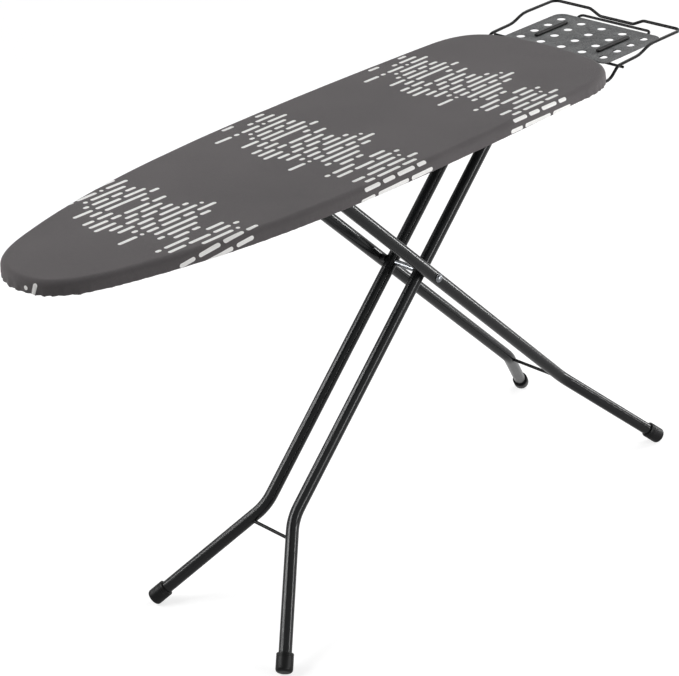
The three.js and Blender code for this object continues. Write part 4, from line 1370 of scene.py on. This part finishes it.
def rest_plate():
    low, high, middle = room("rest_plate")
    fresh()
    bpy.ops.mesh.primitive_plane_add(size=1, location=(middle.x, middle.y, high.z))
    piece = bpy.context.object
    piece.scale = (high.x - low.x, high.y - low.y, 1)
    settled(piece)
    for edge_x, radius in ((high.x, TAIL_CORNER), (low.x, BOARD_CORNER)):
        picking(piece, "VERT", lambda v: abs(v.co.x - edge_x) < 1e-6)
        bpy.ops.mesh.bevel(offset=radius, segments=12, affect="VERTICES", clamp_overlap=False)
    take_all()
    pulled((0, 0, low.z - high.z))
    tidied(piece)
    row_pitch = (high.x - low.x - FIRST_ROW - LAST_ROW) / (HOLE_ROWS - 1)
    column_pitch = (high.y - low.y - 2 * SIDE_COLUMN) / (HOLE_COLUMNS - 1)
    punches = []
    for row in range(HOLE_ROWS):
        for column in range(HOLE_COLUMNS):
            x = high.x - LAST_ROW - row * row_pitch
            y = (column - (HOLE_COLUMNS - 1) / 2) * column_pitch
            punches.append(turned(PUNCH, (x, y, middle.z), UPWARDS, sides=36))
    cut(piece, as_one(punches))
    softened(piece, 0.4 * MM, 50)
    placed(tidied(piece, MERGED_FINE), "rest_plate", angle=50)


def rest_strip(node):
    """A silicone strip with round ends and a soft top edge."""
    low, high, middle = room(node)
    radius = (high.y - low.y) / 2 + 0.7 * MM
    piece = ring_at((low.x + radius, middle.y, low.z), UPWARDS, radius, sides=28)
    picking(piece, "VERT", lambda v: v.co.x > 1e-6)
    bpy.ops.transform.translate(value=(high.x - low.x - 2 * radius, 0, 0))
    take_all()
    bpy.ops.mesh.edge_face_add()
    pulled((0, 0, high.z - low.z + 1 * MM))
    tidied(settled(piece))
    applied(
        piece, "BEVEL", width=1.7 * MM, segments=5, limit_method="ANGLE",
        angle_limit=math.radians(60),
    )
    placed(piece, node, angle=45)


def rim_wire():
    """From the rear brace it steps down, runs back under the tail, and rises round the plate to
    its dip in the middle."""
    high = room("rim_wire")[1]
    wire = 2.85 * MM
    y, tail, clip = high.y - wire, high.x - wire, room("rear_brace")[2].x
    start_z = room("rear_brace")[0].z - GAP - wire
    drop, low_z, top_z = clip + 9 * MM, TOP - 30.5 * MM, TOP + 2.2 * MM
    side = [
        (clip - 12 * MM, y, start_z),
        (drop, y, start_z),
        (drop + 14 * MM, y, low_z),
        (TAIL_X - 17 * MM, y, low_z, 26 * MM),
        (TAIL_X + 5 * MM, y, room("cross_rod")[1].z + GAP + wire, 16 * MM),
        (TAIL_X + 66 * MM, y, TOP - 9.5 * MM, 60 * MM),
        (TAIL_X + 96 * MM, y, top_z, 60 * MM),
        (tail, y, top_z, 13 * MM),
        (tail, 62 * MM, top_z, 20 * MM),
        (tail, 39 * MM, TOP - 8.7 * MM, 20 * MM),
    ]
    placed(bent_bar(mirrored(side), wire, 9 * MM), "rim_wire")


def carrier_wire():
    """From the cross rod it runs back under the plate and, at the plate's end, rises a little
    and crosses over."""
    wire = 2.5 * MM
    _, rod_high, rod = room("cross_rod")
    plate = room("rest_plate")[1]
    tail, y = room("carrier_wire")[1].x - wire, plate.y - 40 * MM
    side = [
        (rod_high.x + GAP, y, rod.z), (plate.x + 1 * MM, y, rod.z), (tail, y, TOP - 13.5 * MM)
    ]
    placed(bent_bar(mirrored(side), wire, 8 * MM), "carrier_wire")


def clip_screw(node):
    """A pan-head screw with a cross recess."""
    low, high, middle = room(node)
    head, shank, length = (high.x - low.x) / 2, 2 * MM, high.z - low.z
    profile = [
        [head * 0.45, 0], [head * 0.78, 0.2 * MM], [head, 1.2 * MM], [head, 2.4 * MM],
        [shank, 2.4 * MM], [shank, length - 0.6 * MM], [shank - 0.6 * MM, length],
    ]
    under = Vector((middle.x, middle.y, low.z))
    piece = turned(profile, under, UPWARDS, sides=24)
    for size in ((3.6, 0.9, 2.6), (0.9, 3.6, 2.6)):
        cut(piece, block(under, Vector(size) * MM))
    placed(tidied(piece, MERGED_FINE), node)


def iron_rest():
    rest_plate()
    rim_wire()
    carrier_wire()
    pin("cross_rod", 0.5 * MM, sides=20)
    for word, _ in LEFT_RIGHT:
        rest_strip(f"rest_strip_{word}")
        pressed(f"rest_clip_{word}", 0.25 * MM)
        clip_screw(f"clip_screw_{word}")


# ---- The whole board ----

BODY_OF = {n: b for b, members in frame["record"]["behaviour"]["bodies"].items() for n in members}
SLOT_OF = {n: o.data.materials[0].name for n, o in frame["nodes"].items()}
LOOKS = {
    "cover_cloth": cover_cloth(),
    "felt": felt_wool(),
    "mesh_paint": painted(
        "mesh_paint", srgb(58, 60, 63), srgb(74, 76, 79), 0.5,
        peel=800.0, specks=1500.0, depth=0.0001, gloss=0.35,
    ),
    "tube_paint": painted(
        "tube_paint", srgb(20, 21, 22), srgb(28, 29, 30), 0.21,
        peel=520.0, specks=1600.0, depth=0.000005, gloss=0.28, spread=12.0,
    ),
    "wire_paint": painted(
        "wire_paint", srgb(7, 7, 8), srgb(13, 13, 14), 0.28,
        peel=900.0, specks=1600.0, depth=0.00001, gloss=0.18, spread=30.0,
    ),
    "plate_paint": painted(
        "plate_paint", srgb(75, 76, 77), srgb(116, 117, 117), 0.62,
        peel=1000.0, specks=620.0, depth=0.00015, gloss=0.3,
    ),
    "zinc": zinc_plate(),
    "rubber": moulded("rubber", srgb(9, 9, 10), srgb(26, 26, 26), 0.4, 900.0, 0.00006),
    "silicone": moulded("silicone", srgb(8, 8, 9), srgb(24, 24, 24), 0.5, 1400.0, 0.00006),
    "nylon": moulded("nylon", srgb(28, 29, 31), srgb(64, 64, 64), 0.48, 1200.0, 0.00008),
    "cord": cord_yarn(),
}


def build():
    set_camera()
    set_studio()
    cover()
    felt_pad()
    tray()
    hem_cord()
    cord_lock()
    for node, width in BROKEN_EDGES.items():
        pressed(node, width * MM)
    pins()
    Legs("inner", 1, 33.8, 174, 247, 213, PIN_BORE).build()
    Legs("outer", -1, 67.4, 182, 242, 231, SLIDER_BORE).build()
    height_lever()
    iron_rest()


build()
